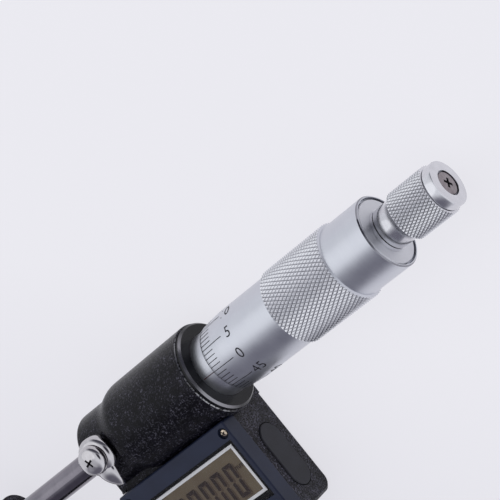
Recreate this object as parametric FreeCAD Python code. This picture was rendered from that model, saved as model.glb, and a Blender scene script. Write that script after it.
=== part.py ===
import FreeCAD
import Part
import math
import os

# A digital outside micrometer, closed, lying on its back.
# X runs along the spindle from the measuring faces towards the ratchet.
# Z is the outward normal of the display. Y points from the display towards the spindle.
# The origin is the point where the measuring faces meet on the spindle's axis.

# Driving dimensions in millimetres

# Measuring line
travel = 25.0
closed_gap = 0.02
spindle_radius = 3.25
tip_length = 1.4
anvil_reach = 6.5
anvil_seat = 9.0
nose_standoff = 4.5

# Clearances
fit_gap = 0.03
running_gap = 0.05
face_gap = 0.1
seat_gap = 0.25
weld = 0.1
beyond = 1.0

# Barrel of the frame
nose_radius = 9.9
nose_edge = 1.3
nose_length = 7.5
step_length = 7.6
barrel_length = 25.2
barrel_radius = 11.5
barrel_end_radius = 11.7
barrel_edge = 0.25

# Arm and throat
arm_thickness = 10.0
arm_width = 12.0
arm_rounding = 1.4
web_rim = 3.0
web_depth = 1.2
web_start_angle = 176
web_end_angle = 292
anvil_boss_radius = 6.6

# Housing under the barrel
housing_setback = 3.2
housing_lead = 1.5
housing_top = 10.6
housing_bottom = 39.2
back_depth = 12.0
joint_height = 1.7
cover_thickness = 5.0
housing_wall = 2.0
cavity_roof = 2.2
back_edge_radius = 3.0
rim_chamfer = 0.6
web_height = 4.7
web_setback = 0.7

# Spindle lock
lock_station = 5.25
lock_rise = 0.6
lock_face_radius = 6.1
lock_face_height = 9.0
lock_stud_radius = 2.0
lever_hub_radius = 4.85
lever_hub_height = 3.0
lever_reach = 8.3
lever_root_width = 5.4
lever_tip_width = 1.3
lever_thickness = 1.5
lever_drop = 2.6
lever_middle_width = 5.0
lever_bend = 3.9
lever_bend_drop = 0.5
lever_skim = 0.2
lever_tip_thickness = 0.9
lever_dome = 1.5
lever_round = 0.6
cross_reach = 1.3
cross_half = 0.25
cross_depth = 0.7
lock_head_radius = 3.3
lock_head_height = 1.7
lock_shoe_height = 1.3
lock_shoe_hollow = 0.8
lock_head_edge = 1.15
lock_screw_radius = 0.95
lock_screw_length = 4.2
stud_square = 2.7
stud_square_sink = 0.3

# Encoder round the spindle
chamber_radius = 9.0
chamber_length = 15.8
disc_thickness = 1.2
encoder_gap = 0.4
hub_length = 4.0
hub_radius = 5.6
keyway_width = 1.2
keyway_depth = 0.9
hub_shoulder = 1.2
tongue_root = 0.5
washer_thickness = 0.25
washer_inner = 1.0
ribbon_thickness = 0.2
ribbon_width = 2.4
ribbon_drop = 1.0
ribbon_clearance = 0.5

# Sleeve, collar and thread
sleeve_radius = 8.1
sleeve_wall = 0.85
flange_length = 4.0
spigot_length = 3.6
collar_radius = 11.3
collar_rim = 0.7
collar_chamfer = 0.5
collar_rise = 0.45
thimble_setback = 5.2
thread_radius = 3.6
thread_relief = 1.6
thread_lead = 1.0
thread_groove_depth = 0.3
thread_groove_length = 1.2
nut_grip = 6.0
nut_taper = 0.7
notch_depth = 1.2
notch_half = 0.7
nut_length = 6.0
nut_radius = 7.85
sleeve_margin = 2.0
slit_width = 0.8
slit_count = 3
slit_lead = 2.0

# Thimble
thimble_length = 53.2
thimble_radius = 9.0
thimble_edge_radius = 8.5
bevel_length = 5.7
grip_start = 22.2
grip_length = 19.3
grip_radius = 9.6
grip_chamfer = 0.45
rear_chamfer = 0.25
hub_gap = 4.2
face_sink = 0.15
taper_length = 9.0
taper_radius = 2.7
hub_chamfer = 0.2

# Ratchet
stem_flange_radius = 5.15
stem_flange_length = 0.85
stem_radius = 2.1
stem_spigot_radius = 1.5
stem_spigot_length = 5.0
neck_radius = 5.05
neck_flare_radius = 5.55
neck_length = 5.0
neck_flare_length = 1.6
knob_radius = 6.0
knob_front_chamfer = 0.7
knob_back_chamfer = 0.3
knob_grip_length = 10.4
knob_groove = 0.15
knob_end_length = 2.4
knob_end_radius = 5.5
knob_edge = 0.35
knob_wall = 0.9
knob_floor = 4.6
screw_recess_radius = 3.1
screw_recess_depth = 1.6
ratchet_screw_radius = 2.8
screw_shank_radius = 1.0
screw_shank_length = 4.0
ratchet_screw_sink = 0.1
tooth_count = 12
tooth_height = 0.45
tooth_share = 0.96
tooth_margin = 0.12
tooth_root = 0.02
click_length = 1.8
pawl_length = 1.8
spring_wire = 0.25
spring_turns = 4
spring_offset = 0.6

# Display
window_side_margin = 1.2
window_top = 15.15
window_bottom = 31.2
window_sink = 0.4
window_thickness = 0.8
ledge_thickness = 0.8
cover_wall = 1.2
cover_margin = 0.4
cover_relief = 5.0
cover_skin = 1.2
cover_corner_radius = 0.55
cover_edge = 0.3
ledge_margin = 0.9
ledge_drop = 1.0
window_left_margin = 1.7
lcd_left_margin = 2.75
lcd_right_margin = 2.85
lcd_top = 16.1
lcd_bottom = 29.5
lcd_rim = 0.75
lcd_thickness = 1.0
lcd_sink = 0.25
lcd_ledge = 0.7

# Buttons
button_radius = 2.2
button_flange = 0.4
button_flange_thickness = 1.0
button_edge = 0.35
button_stand = 0.8
button_travel = 0.5
button_pitch = 10.5
dome_radius = 1.8
dome_height = 0.8
dome_stem_radius = 0.9

# Cover screws
screw_inset = 1.8
screw_top_inset = 2.5
screw_head_radius = 1.0
screw_head_height = 0.7
screw_head_sink = 0.15
screw_recess = 1.4
screw_radius = 0.6
screw_length = 8.0
post_radius = 2.0

# Circuit board
board_thickness = 1.0
board_gap = 0.6
standoff_radius = 1.2
standoff_inset = 0.8
root_depth = 0.5

# Battery and its cap
battery_radius = 5.8
battery_height = 5.4
battery_x = 11.5
battery_y = 26.0
well_wall = 1.6
cap_radius = 7.6
cap_thickness = 1.1
cap_sink = 0.15
cap_plug_radius = 6.85
cap_plug_length = 1.7
gasket_height = 0.45
coin_slot_length = 8.0
coin_slot_width = 1.4
coin_slot_depth = 0.7
contact_half_width = 1.5
contact_thickness = 0.2
contact_reach = 4.0

# Data port
port_y = 26.1
port_z = 4.6
plug_length = 17.2
plug_width = 7.7
plug_head = 0.9
plug_stand = 0.3
plug_neck_length = 12.0
plug_neck_width = 4.8
plug_neck_depth = 4.0
connector_length = 4.6
socket_depth = 3.0
socket_margin = 1.0
socket_half_height = 1.2
plug_edge = 0.2

# Stations worked out from the sizes above
nose_x = travel + nose_standoff
nose_end_x = nose_x + nose_length
step_end_x = nose_end_x + step_length
barrel_end_x = step_end_x + barrel_length
housing_left = nose_x - housing_lead
housing_right = barrel_end_x - housing_setback
cover_top_z = joint_height + cover_thickness
cavity_floor_z = -back_depth + housing_wall
chamber_x = barrel_end_x - chamber_length
thimble_x = barrel_end_x + thimble_setback
thimble_end_x = thimble_x + thimble_length
sleeve_end_x = thimble_x + travel + sleeve_margin
nut_end_x = sleeve_end_x + nut_length
nut_start_x = sleeve_end_x - nut_grip
thread_start_x = nut_start_x - travel - thread_lead
hub_x = nut_end_x + hub_gap
rotor_x = chamber_x + disc_thickness + encoder_gap
hub_end_x = rotor_x + hub_length
spigot_x = barrel_end_x - spigot_length
flange_x = spigot_x - flange_length
inner_sleeve_radius = sleeve_radius - sleeve_wall - fit_gap
ribbon_x = chamber_x + disc_thickness / 2.0
cavity_top_y = -housing_top - cavity_roof
collar_rim_x = barrel_end_x + collar_rim
lock_x = nose_x + lock_station
throat_radius = (housing_left + anvil_reach) / 2.0
throat_x = (housing_left - anvil_reach) / 2.0
arm_half = arm_thickness / 2.0
stem_x = thimble_end_x - face_sink
knob_x = stem_x + stem_flange_length + face_gap
knob_end_x = knob_x + neck_length + knob_grip_length + knob_groove + knob_end_length
knob_floor_x = knob_end_x - knob_floor
cup_radius = neck_radius - knob_wall
click_x = knob_x + face_gap
pawl_x = click_x + click_length + face_gap
recess_x = knob_end_x - screw_recess_depth
board_z = joint_height - board_gap - board_thickness
lcd_right = housing_right - lcd_right_margin
lcd_left = housing_left + lcd_left_margin
window_left = housing_left + window_left_margin
window_right = housing_right - window_side_margin
mask_top_z = cover_top_z - window_sink - window_thickness
ledge_top_z = mask_top_z - ledge_drop
button_y = -(window_bottom + housing_bottom) / 2.0
button_middle_x = (housing_left + housing_right) / 2.0
cell_x = housing_left + battery_x
cell_y = -battery_y
well_radius = battery_radius + seat_gap
well_top_z = cavity_floor_z + battery_height - cap_plug_length
cap_face_z = -back_depth + cap_sink
gasket_z = cap_face_z + cap_thickness + face_gap / 2.0
cap_seat_z = cap_face_z + cap_thickness + gasket_height + face_gap
cap_plug_z = cap_face_z + cap_thickness + cap_plug_length
battery_z = cap_plug_z + face_gap
lever_z = lock_face_height + face_gap
lever_top_z = lever_z + lever_hub_height
lock_head_z = lever_top_z + face_gap
board_top_z = board_z + board_thickness
lcd_top_z = mask_top_z - fit_gap
screw_top_z = cover_top_z - screw_head_sink
flange_top_z = cover_top_z - cover_skin - face_gap / 2.0
flange_low_z = flange_top_z - button_flange_thickness
plug_head_x = housing_right + plug_stand - plug_head
plug_face_x = housing_right + plug_stand


def point(x, y, z):
    return FreeCAD.Vector(x, y, z)


along_x = point(1, 0, 0)
along_y = point(0, 1, 0)
along_z = point(0, 0, 1)


def rod(radius, start, end):
    # Solid cylinder on the spindle's axis.
    return Part.makeCylinder(radius, end - start, point(start, 0, 0), along_x)


def tube(inner, outer, start, end):
    # Hollow cylinder on the spindle's axis.
    return rod(outer, start, end).cut(rod(inner, start - beyond, end + beyond))


def cone(radius_start, radius_end, start, end):
    return Part.makeCone(radius_start, radius_end, end - start, point(start, 0, 0), along_x)


def post(radius, x, y, low, high):
    # Solid cylinder along the display's normal.
    return Part.makeCylinder(radius, high - low, point(x, y, low), along_z)


def block(x, y, z):
    # Box from three pairs of limits.
    return Part.makeBox(x[1] - x[0], y[1] - y[0], z[1] - z[0], point(x[0], y[0], z[0]))


def turned(outline):
    # Closed outline of (x, radius) pairs spun about the spindle's axis.
    corners = [point(x, radius, 0) for x, radius in outline]
    face = Part.Face(Part.makePolygon(corners + corners[:1]))
    return face.revolve(point(0, 0, 0), along_x, 360)


def fused(shapes):
    whole = shapes[0]
    for shape in shapes[1:]:
        whole = whole.fuse(shape)
    return whole.removeSplitter()


def without(shape, cutters):
    for cutter in cutters:
        shape = shape.cut(cutter)
    return shape


def edges_along(shape, direction, test):
    # Straight edges that run along one direction and pass a test on their middle point.
    found = []
    for edge in shape.Edges:
        if edge.Curve.TypeId != "Part::GeomLine":
            continue
        if abs(abs(edge.Curve.Direction.dot(direction)) - 1) > 1e-6:
            continue
        if test(edge.CenterOfMass):
            found.append(edge)
    return found


def circles_at_z(shape, height):
    # Circular edges that lie at one height.
    return [edge for edge in shape.Edges if abs(edge.CenterOfMass.z - height) < 1e-6
            and edge.Curve.TypeId == "Part::GeomCircle"]


def stadium_x(length, width, start, end):
    # Round-ended bar across the housing's side wall, its length along Y.
    straight = (length - width) / 2.0
    middle = block((start, end), (-port_y - straight, -port_y + straight),
                   (-port_z - width / 2.0, -port_z + width / 2.0))
    ends = []
    for side in (-1, 1):
        centre = point(start, -port_y + side * straight, -port_z)
        ends.append(Part.makeCylinder(width / 2.0, end - start, centre, along_x))
    return fused([middle] + ends)


def corner_screw_places():
    # The four corners of the display cover.
    xs = (housing_left + screw_inset, housing_right - screw_inset)
    ys = (-housing_top - screw_top_inset, -housing_bottom + screw_inset)
    return [(x, y) for x in xs for y in ys]


def standoff_places():
    inset_x = housing_wall + post_radius + standoff_radius
    xs = (housing_left + inset_x, housing_right - inset_x)
    ys = (cavity_top_y - standoff_inset, -housing_bottom + housing_wall + standoff_inset)
    return [(x, y) for x in xs for y in ys]


# Frame casting

def barrel_body():
    # Nose, a smooth step and the larger barrel, which swells a little to its end.
    start = point(nose_x, 0, 0)
    below_edge = point(nose_x, nose_radius - nose_edge, 0)
    middle = nose_edge * (1 - math.sqrt(0.5))
    on_edge = point(nose_x + middle, nose_radius - middle, 0)
    past_edge = point(nose_x + nose_edge, nose_radius, 0)
    step_start = point(nose_end_x, nose_radius, 0)
    step_end = point(step_end_x, barrel_radius, 0)
    half_way = (nose_end_x + step_end_x) / 2.0
    curve = Part.BezierCurve()
    curve.setPoles([step_start, point(half_way, nose_radius, 0),
                    point(half_way, barrel_radius, 0), step_end])
    rim = point(barrel_end_x - barrel_edge, barrel_end_radius, 0)
    rim_face = point(barrel_end_x, barrel_end_radius - barrel_edge, 0)
    finish = point(barrel_end_x, 0, 0)
    edges = [
        Part.LineSegment(start, below_edge).toShape(),
        Part.Arc(below_edge, on_edge, past_edge).toShape(),
        Part.LineSegment(past_edge, step_start).toShape(),
        curve.toShape(),
        Part.LineSegment(step_end, rim).toShape(),
        Part.LineSegment(rim, rim_face).toShape(),
        Part.LineSegment(rim_face, finish).toShape(),
        Part.LineSegment(finish, start).toShape(),
    ]
    return Part.Face(Part.Wire(edges)).revolve(point(0, 0, 0), along_x, 360)


def arm_body():
    # C-shaped arm: leg, throat arc and foot, one thickness, with rounded edges.
    outer_radius = throat_radius + arm_width
    bottom = -housing_bottom
    centre_y = bottom + outer_radius
    inner_left = throat_x - throat_radius
    outer_left = throat_x - outer_radius
    root_x = housing_left + housing_wall
    low = -arm_half
    slant = math.sqrt(0.5)
    outer_mid = point(throat_x - outer_radius * slant, centre_y - outer_radius * slant, low)
    edges = [
        Part.LineSegment(point(root_x, bottom, low), point(throat_x, bottom, low)).toShape(),
        Part.Arc(point(throat_x, bottom, low), outer_mid, point(outer_left, centre_y, low)).toShape(),
        Part.LineSegment(point(outer_left, centre_y, low), point(outer_left, 0, low)).toShape(),
        Part.LineSegment(point(outer_left, 0, low), point(inner_left, 0, low)).toShape(),
        Part.LineSegment(point(inner_left, 0, low), point(inner_left, centre_y, low)).toShape(),
        Part.Arc(point(inner_left, centre_y, low), point(throat_x, centre_y - throat_radius, low),
                 point(housing_left, centre_y, low)).toShape(),
        Part.LineSegment(point(housing_left, centre_y, low), point(root_x, centre_y, low)).toShape(),
        Part.LineSegment(point(root_x, centre_y, low), point(root_x, bottom, low)).toShape(),
    ]
    plate = Part.Face(Part.Wire(edges)).extrude(point(0, 0, arm_thickness))
    rim_edges = [edge for edge in plate.Edges if abs(abs(edge.CenterOfMass.z) - arm_half) < 1e-6]
    outside = [edge for edge in rim_edges if edge.CenterOfMass.x < housing_left - 0.5
               and edge.CenterOfMass.y < -0.5]
    return plate.makeFillet(arm_rounding, outside)


def web_pocket(low, high):
    # Round-ended band sunk into one face of the arm along the throat.
    outer_radius = throat_radius + arm_width
    centre_y = -housing_bottom + outer_radius
    middle = throat_radius + arm_width / 2.0
    half = arm_width / 2.0 - web_rim
    first = math.radians(web_start_angle)
    last = math.radians(web_end_angle)

    def at(radius, angle):
        return point(throat_x + radius * math.cos(angle), centre_y + radius * math.sin(angle), low)

    def round_end(angle, side):
        centre = at(middle, angle)
        tip = point(-math.sin(angle), math.cos(angle), 0)
        return centre + tip * (side * half)

    between = (first + last) / 2.0
    edges = [
        Part.Arc(at(middle - half, first), at(middle - half, between), at(middle - half, last)).toShape(),
        Part.Arc(at(middle - half, last), round_end(last, 1), at(middle + half, last)).toShape(),
        Part.Arc(at(middle + half, last), at(middle + half, between), at(middle + half, first)).toShape(),
        Part.Arc(at(middle + half, first), round_end(first, -1), at(middle - half, first)).toShape(),
    ]
    return Part.Face(Part.Wire(edges)).extrude(point(0, 0, high - low))


def housing_body():
    # Deep box under the barrel, its lower back edge well rounded.
    shell = block((housing_left, housing_right), (-housing_bottom, -housing_top),
                  (-back_depth, joint_height))
    lower_back = edges_along(shell, along_x, lambda c: c.y < -housing_top - beyond and c.z < 0)
    shell = shell.makeFillet(back_edge_radius, lower_back)
    rims = []
    for edge in shell.Edges:
        middle = edge.CenterOfMass
        on_end = min(abs(middle.x - housing_left), abs(middle.x - housing_right)) < 1e-6
        if on_end and middle.y < -housing_top - 1e-6 and middle.z < joint_height - 1e-6:
            rims.append(edge)
    return shell.makeChamfer(rim_chamfer, rims)


def bridge_bodies():
    # The flat back runs up behind the barrel, and a web joins the nose to the housing's roof.
    back = block((nose_x, housing_right), (-housing_top - beyond, 0), (-back_depth, 0))
    web = block((housing_left + web_setback, step_end_x), (-housing_top, -nose_radius / 2.0),
                (-arm_half, web_height))
    return [back, web]


def anvil_boss():
    outer_left = throat_x - throat_radius - arm_width
    boss = rod(anvil_boss_radius, outer_left, -anvil_reach)
    rear = [edge for edge in boss.Edges if edge.CenterOfMass.x < outer_left + 0.1
            and edge.Curve.TypeId == "Part::GeomCircle"]
    return boss.makeChamfer(arm_rounding, rear)


def housing_pillars(shell):
    # Screw pillars in the corners, standoffs under the board and the wall of the battery's well.
    root_z = cavity_floor_z - root_depth
    pillars = [post(post_radius, x, y, root_z, joint_height).common(shell)
               for x, y in corner_screw_places()]
    for x, y in standoff_places():
        pillars.append(post(standoff_radius, x, y, root_z, board_z))
    pillars.append(post(well_radius + well_wall, cell_x, cell_y, root_z, well_top_z))
    return pillars


def frame_casting():
    shell = housing_body()
    solids = [barrel_body(), arm_body(), anvil_boss(), shell]
    body = fused(solids + bridge_bodies())
    cavity = block((housing_left + housing_wall, housing_right - housing_wall),
                   (-housing_bottom + housing_wall, cavity_top_y),
                   (cavity_floor_z, joint_height + beyond))
    seat_y = -housing_top + face_gap
    cover_seat = block((housing_left - cover_margin, housing_right + beyond),
                       (-housing_bottom - beyond, seat_y), (joint_height, barrel_radius))
    corner_relief = block((housing_left - cover_relief, housing_left),
                          (-housing_top - cover_relief, seat_y), (joint_height, barrel_radius))
    body = without(body, [cavity, cover_seat, corner_relief,
                          web_pocket(arm_half - web_depth, arm_half + beyond),
                          web_pocket(-arm_half - beyond, -arm_half + web_depth)])
    body = fused([body] + housing_pillars(shell))

    cuts = []
    bore = spindle_radius + running_gap
    cuts.append(rod(bore, nose_x - beyond, barrel_end_x))
    cuts.append(rod(chamber_radius, chamber_x, barrel_end_x + beyond))
    cuts.append(rod(spindle_radius + fit_gap, -anvil_reach - anvil_seat, -anvil_reach + beyond))
    cuts.append(post(lock_face_radius, lock_x, lock_rise, lock_face_height, nose_radius + beyond))
    cuts.append(post(lock_stud_radius + running_gap, lock_x, lock_rise, 0, lock_face_height + beyond))
    cuts.append(ribbon_shape(ribbon_clearance, cavity_top_y - beyond, -hub_radius))
    for x, y in corner_screw_places():
        cuts.append(post(screw_radius + fit_gap, x, y, cover_top_z - screw_length - beyond,
                         joint_height + beyond))
    cuts.append(post(cap_radius + face_gap, cell_x, cell_y, -back_depth - beyond, cap_seat_z))
    cuts.append(post(cap_plug_radius + running_gap, cell_x, cell_y, -back_depth, battery_z))
    cuts.append(post(well_radius, cell_x, cell_y, -back_depth, well_top_z + beyond))
    cuts.append(stadium_x(plug_length + 2 * seat_gap, plug_width + 2 * seat_gap,
                          plug_head_x, housing_right + beyond))
    cuts.append(stadium_x(plug_neck_length + 2 * face_gap, plug_neck_width + 2 * face_gap,
                          housing_right - housing_wall - beyond, housing_right))
    return without(body, cuts).removeSplitter()


# Battery, its well and cap

def battery_cell():
    return post(battery_radius, cell_x, cell_y, battery_z, battery_z + battery_height)


def battery_cap():
    disc = post(cap_radius, cell_x, cell_y, cap_face_z, cap_face_z + cap_thickness)
    plug = post(cap_plug_radius, cell_x, cell_y, cap_face_z, cap_plug_z)
    half = coin_slot_length / 2.0
    wide = coin_slot_width / 2.0
    slot = block((cell_x - half, cell_x + half), (cell_y - wide, cell_y + wide),
                 (cap_face_z - beyond, cap_face_z + coin_slot_depth))
    return fused([disc, plug]).cut(slot)


def battery_gasket():
    outer = post(cap_radius - face_gap, cell_x, cell_y, gasket_z, gasket_z + gasket_height)
    return outer.cut(post(cap_plug_radius + face_gap, cell_x, cell_y, gasket_z - beyond,
                          gasket_z + gasket_height + beyond))


def battery_contact():
    # Bent strip between the cell and the board.
    low = battery_z + battery_height + face_gap
    high = board_z - face_gap / 2.0
    thick = contact_thickness
    outline = [
        (cell_x - contact_reach, high), (cell_x - contact_reach, high - thick),
        (cell_x - contact_reach / 2.0, high - thick), (cell_x, low), (cell_x + contact_reach / 4.0, low),
        (cell_x + contact_reach / 4.0, low + thick), (cell_x + thick, low + thick),
        (cell_x - contact_reach / 2.0 + thick, high),
    ]
    corners = [point(x, cell_y - contact_half_width, z) for x, z in outline]
    face = Part.Face(Part.makePolygon(corners + corners[:1]))
    return face.extrude(point(0, 2 * contact_half_width, 0))


# Anvil, spindle and lock

def anvil():
    return rod(spindle_radius, -anvil_reach - anvil_seat + face_gap, -tip_length)


def anvil_tip():
    return rod(spindle_radius, -tip_length, 0)


def spindle():
    # Ground rod with a keyway, a larger thread and a taper that carries the thimble.
    front = closed_gap + tip_length
    body = fused([
        rod(spindle_radius, front, thread_start_x),
        rod(thread_radius, thread_start_x, hub_x),
        cone(thread_radius, taper_radius, hub_x, hub_x + taper_length),
        rod(taper_radius, hub_x + taper_length, stem_x - stem_flange_length),
    ])
    keyway = block((rotor_x - travel - encoder_gap, hub_end_x + encoder_gap),
                   (spindle_radius - keyway_depth, spindle_radius + beyond),
                   (-keyway_width / 2.0, keyway_width / 2.0))
    relief = tube(spindle_radius - thread_groove_depth, thread_radius + beyond,
                  thread_start_x - thread_groove_length, thread_start_x)
    end_hole = rod(stem_spigot_radius + fit_gap, stem_x - stem_spigot_length - face_gap, stem_x)
    return without(body, [keyway, relief, end_hole])


def spindle_tip():
    return rod(spindle_radius, closed_gap, closed_gap + tip_length)


def lock_shoe():
    # Brass pad with a hollow face that bears on the spindle.
    low = spindle_radius - lock_shoe_hollow
    pad = post(lock_stud_radius - fit_gap, lock_x, lock_rise, low, spindle_radius + lock_shoe_height)
    return pad.cut(rod(spindle_radius + running_gap, nose_x, nose_end_x))


def lock_square(half, low, high):
    return block((lock_x - half, lock_x + half), (lock_rise - half, lock_rise + half), (low, high))


def lock_stud():
    low = spindle_radius + lock_shoe_height + face_gap
    shank = post(lock_stud_radius, lock_x, lock_rise, low, lever_z)
    square = lock_square(stud_square / 2.0, lever_z, lever_top_z - stud_square_sink)
    hole = post(lock_screw_radius + running_gap, lock_x, lock_rise,
                lever_top_z - lock_screw_length - face_gap, lever_top_z + beyond)
    return fused([shank, square]).cut(hole)


def lever_plan(height):
    # The tongue seen from above: parallel at its root, round-sided towards its tip.
    root = lever_root_width / 2.0
    tip = lever_tip_width / 2.0
    half = lever_middle_width / 2.0
    middle_y = lock_rise - lever_reach / 2.0
    tip_y = lock_rise - lever_reach
    outline = [
        Part.LineSegment(point(lock_x - root, lock_rise, 0), point(lock_x + root, lock_rise, 0)).toShape(),
        Part.Arc(point(lock_x + root, lock_rise, 0), point(lock_x + half, middle_y, 0),
                 point(lock_x + tip, tip_y, 0)).toShape(),
        Part.Arc(point(lock_x + tip, tip_y, 0), point(lock_x, tip_y - tip, 0),
                 point(lock_x - tip, tip_y, 0)).toShape(),
        Part.Arc(point(lock_x - tip, tip_y, 0), point(lock_x - half, middle_y, 0),
                 point(lock_x - root, lock_rise, 0)).toShape(),
    ]
    return Part.Face(Part.Wire(outline)).extrude(point(0, 0, height))


def lever_profile():
    # The tongue seen from the side: it bends down as it runs outwards and grows thinner.
    left = lock_x - lever_root_width
    bend_y = lock_rise - lever_bend
    end_y = lock_rise - lever_reach - lever_tip_width
    bend_z = lever_top_z - lever_bend_drop
    end_z = lever_top_z - lever_drop
    root_top = point(left, lock_rise, lever_top_z - lever_skim)
    root_low = point(left, lock_rise, lever_z)
    end_top = point(left, end_y, end_z)
    end_low = point(left, end_y, end_z - lever_tip_thickness)
    wire = Part.Wire([
        Part.Arc(root_top, point(left, bend_y, bend_z), end_top).toShape(),
        Part.LineSegment(end_top, end_low).toShape(),
        Part.Arc(end_low, point(left, bend_y, bend_z - lever_thickness), root_low).toShape(),
        Part.LineSegment(root_low, root_top).toShape(),
    ])
    return Part.Face(wire).extrude(point(2 * lever_root_width, 0, 0))


def lock_lever():
    # Domed hub with a tongue that bends back round the nose and narrows to its tip.
    hub = post(lever_hub_radius, lock_x, lock_rise, lever_z, lever_top_z)
    hub = hub.makeFillet(lever_dome, circles_at_z(hub, lever_top_z))
    tongue = lever_plan(lever_top_z + beyond).common(lever_profile())
    upper = max(tongue.Faces, key=lambda face: face.CenterOfMass.z)
    sides = [edge for edge in upper.Edges if abs(edge.CenterOfMass.x - lock_x) > lever_tip_width]
    tongue = tongue.makeFillet(lever_round, sides)
    square = lock_square(stud_square / 2.0 + fit_gap, lever_z - beyond, lever_top_z + beyond)
    return fused([hub, tongue]).cut(square)


def lock_screw():
    # Pan head with a cross slot and a short shank in the stud.
    crown = lock_head_z + lock_head_height
    head = post(lock_head_radius, lock_x, lock_rise, lock_head_z, crown)
    head = head.makeFillet(lock_head_edge, circles_at_z(head, crown))
    shank = post(lock_screw_radius, lock_x, lock_rise, lever_top_z - lock_screw_length, lock_head_z + weld)
    crosses = []
    for half_x, half_y in ((cross_reach, cross_half), (cross_half, cross_reach)):
        crosses.append(block((lock_x - half_x, lock_x + half_x), (lock_rise - half_y, lock_rise + half_y),
                             (crown - cross_depth, crown + beyond)))
    return without(fused([head, shank]), crosses)


# Encoder

def encoder_stator():
    return tube(hub_radius, chamber_radius - fit_gap, chamber_x + fit_gap, chamber_x + disc_thickness)


def encoder_rotor():
    seat = hub_radius - hub_shoulder + fit_gap
    return tube(seat, chamber_radius - seat_gap, rotor_x, rotor_x + disc_thickness)


def rotor_hub():
    # Bush that slides on the spindle and turns with it by a tongue in the keyway.
    bore = spindle_radius + running_gap
    step_x = rotor_x + disc_thickness + fit_gap
    seat = hub_radius - hub_shoulder
    bush = turned([
        (rotor_x, bore), (rotor_x, seat), (step_x, seat), (step_x, hub_radius), (hub_end_x, hub_radius),
        (hub_end_x, bore),
    ])
    half = keyway_width / 2.0 - running_gap
    tongue = block((rotor_x, hub_end_x),
                   (spindle_radius - keyway_depth + face_gap, spindle_radius + tongue_root), (-half, half))
    return fused([bush, tongue])


def rotor_washer():
    # Dished spring washer between the hub and the sleeve's flange.
    start = hub_end_x + face_gap
    end = flange_x - face_gap
    inner = spindle_radius + washer_inner
    return turned([
        (start, inner), (start + washer_thickness, inner), (end, hub_radius),
        (end - washer_thickness, hub_radius),
    ])


def ribbon_shape(margin, low_y, high_y):
    half_x = ribbon_thickness / 2.0 + margin
    half_z = ribbon_width / 2.0 + margin
    return block((ribbon_x - half_x, ribbon_x + half_x), (low_y, high_y),
                 (-ribbon_drop - half_z, -ribbon_drop + half_z))


def encoder_ribbon():
    # Flat lead from the stator down into the housing.
    return ribbon_shape(0, cavity_top_y - seat_gap, -chamber_radius + fit_gap)


# Sleeve, collar and thread

def thread_sleeve():
    # Flanged inner sleeve whose slit rear end is the spindle's nut.
    bore = thread_radius + running_gap
    relief = bore + thread_relief
    flange_radius = chamber_radius - fit_gap
    body = turned([
        (flange_x, relief), (flange_x, flange_radius), (spigot_x, flange_radius),
        (spigot_x, inner_sleeve_radius), (sleeve_end_x, inner_sleeve_radius),
        (nut_end_x, inner_sleeve_radius - nut_taper), (nut_end_x, bore), (nut_start_x, bore),
        (nut_start_x, relief),
    ])
    slits = []
    half = slit_width / 2.0
    for turn in range(slit_count):
        slit = block((nut_start_x + slit_lead, nut_end_x + beyond), (0, sleeve_radius), (-half, half))
        slit.rotate(point(0, 0, 0), along_x, 360.0 * (turn + 0.5) / slit_count)
        slits.append(slit)
    return without(body, slits)


def graduated_sleeve():
    return tube(sleeve_radius - sleeve_wall, sleeve_radius, spigot_x + face_gap, sleeve_end_x - face_gap)


def adjusting_nut():
    # Ring on the tapered end of the inner sleeve, with two spanner notches.
    start = sleeve_end_x + face_gap
    slope = nut_taper / nut_length
    ring = turned([
        (start, inner_sleeve_radius - slope * face_gap + fit_gap), (start, nut_radius),
        (nut_end_x, nut_radius), (nut_end_x, inner_sleeve_radius - nut_taper + fit_gap),
    ])
    notch = block((nut_end_x - notch_depth, nut_end_x + beyond), (-nut_radius - beyond, nut_radius + beyond),
                  (-notch_half, notch_half))
    return ring.cut(notch)


def collar_ring():
    # Black ring that closes the barrel round the sleeve, with a chamfered rim and a coned face.
    bore = sleeve_radius + fit_gap
    plug_radius = chamber_radius - fit_gap
    rim_start = barrel_end_x + face_gap
    return turned([
        (spigot_x + face_gap, bore), (spigot_x + face_gap, plug_radius), (rim_start, plug_radius),
        (rim_start, collar_radius), (collar_rim_x, collar_radius),
        (collar_rim_x + collar_chamfer, collar_radius - collar_chamfer), (collar_rim_x + collar_rise, bore),
    ])


# Thimble

def thimble():
    bore = sleeve_radius + 2 * fit_gap
    start = thimble_x + grip_start
    end = start + grip_length
    return turned([
        (thimble_x, bore), (thimble_x, thimble_edge_radius), (thimble_x + bevel_length, thimble_radius),
        (start, thimble_radius), (start + grip_chamfer, grip_radius), (end - grip_chamfer, grip_radius),
        (end, thimble_radius), (thimble_end_x - rear_chamfer, thimble_radius),
        (thimble_end_x, thimble_radius - rear_chamfer), (thimble_end_x, bore),
    ])


def thimble_hub():
    # Rear plug of the thimble, bored to seat on the spindle's taper.
    outer = sleeve_radius + fit_gap
    end = thimble_end_x - face_sink
    return turned([
        (hub_x, thread_radius + fit_gap), (hub_x, outer), (end - hub_chamfer, outer),
        (end, outer - hub_chamfer),
        (end, taper_radius + fit_gap), (hub_x + taper_length, taper_radius + fit_gap),
    ])


# Ratchet

def face_teeth(inner, outer, base, height):
    # Ring of saw teeth that point along X from the base plane.
    teeth = []
    step = 2 * math.pi / tooth_count

    def corner(radius, angle, x):
        return point(x, radius * math.cos(angle), radius * math.sin(angle))

    for index in range(tooth_count):
        first = index * step
        last = first + step * tooth_share
        sections = []
        for radius in (inner, outer):
            sections.append(Part.makePolygon([
                corner(radius, first, base), corner(radius, last, base),
                corner(radius, last, base + height), corner(radius, first, base),
            ]))
        teeth.append(Part.makeLoft(sections, True, True))
    return teeth


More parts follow.
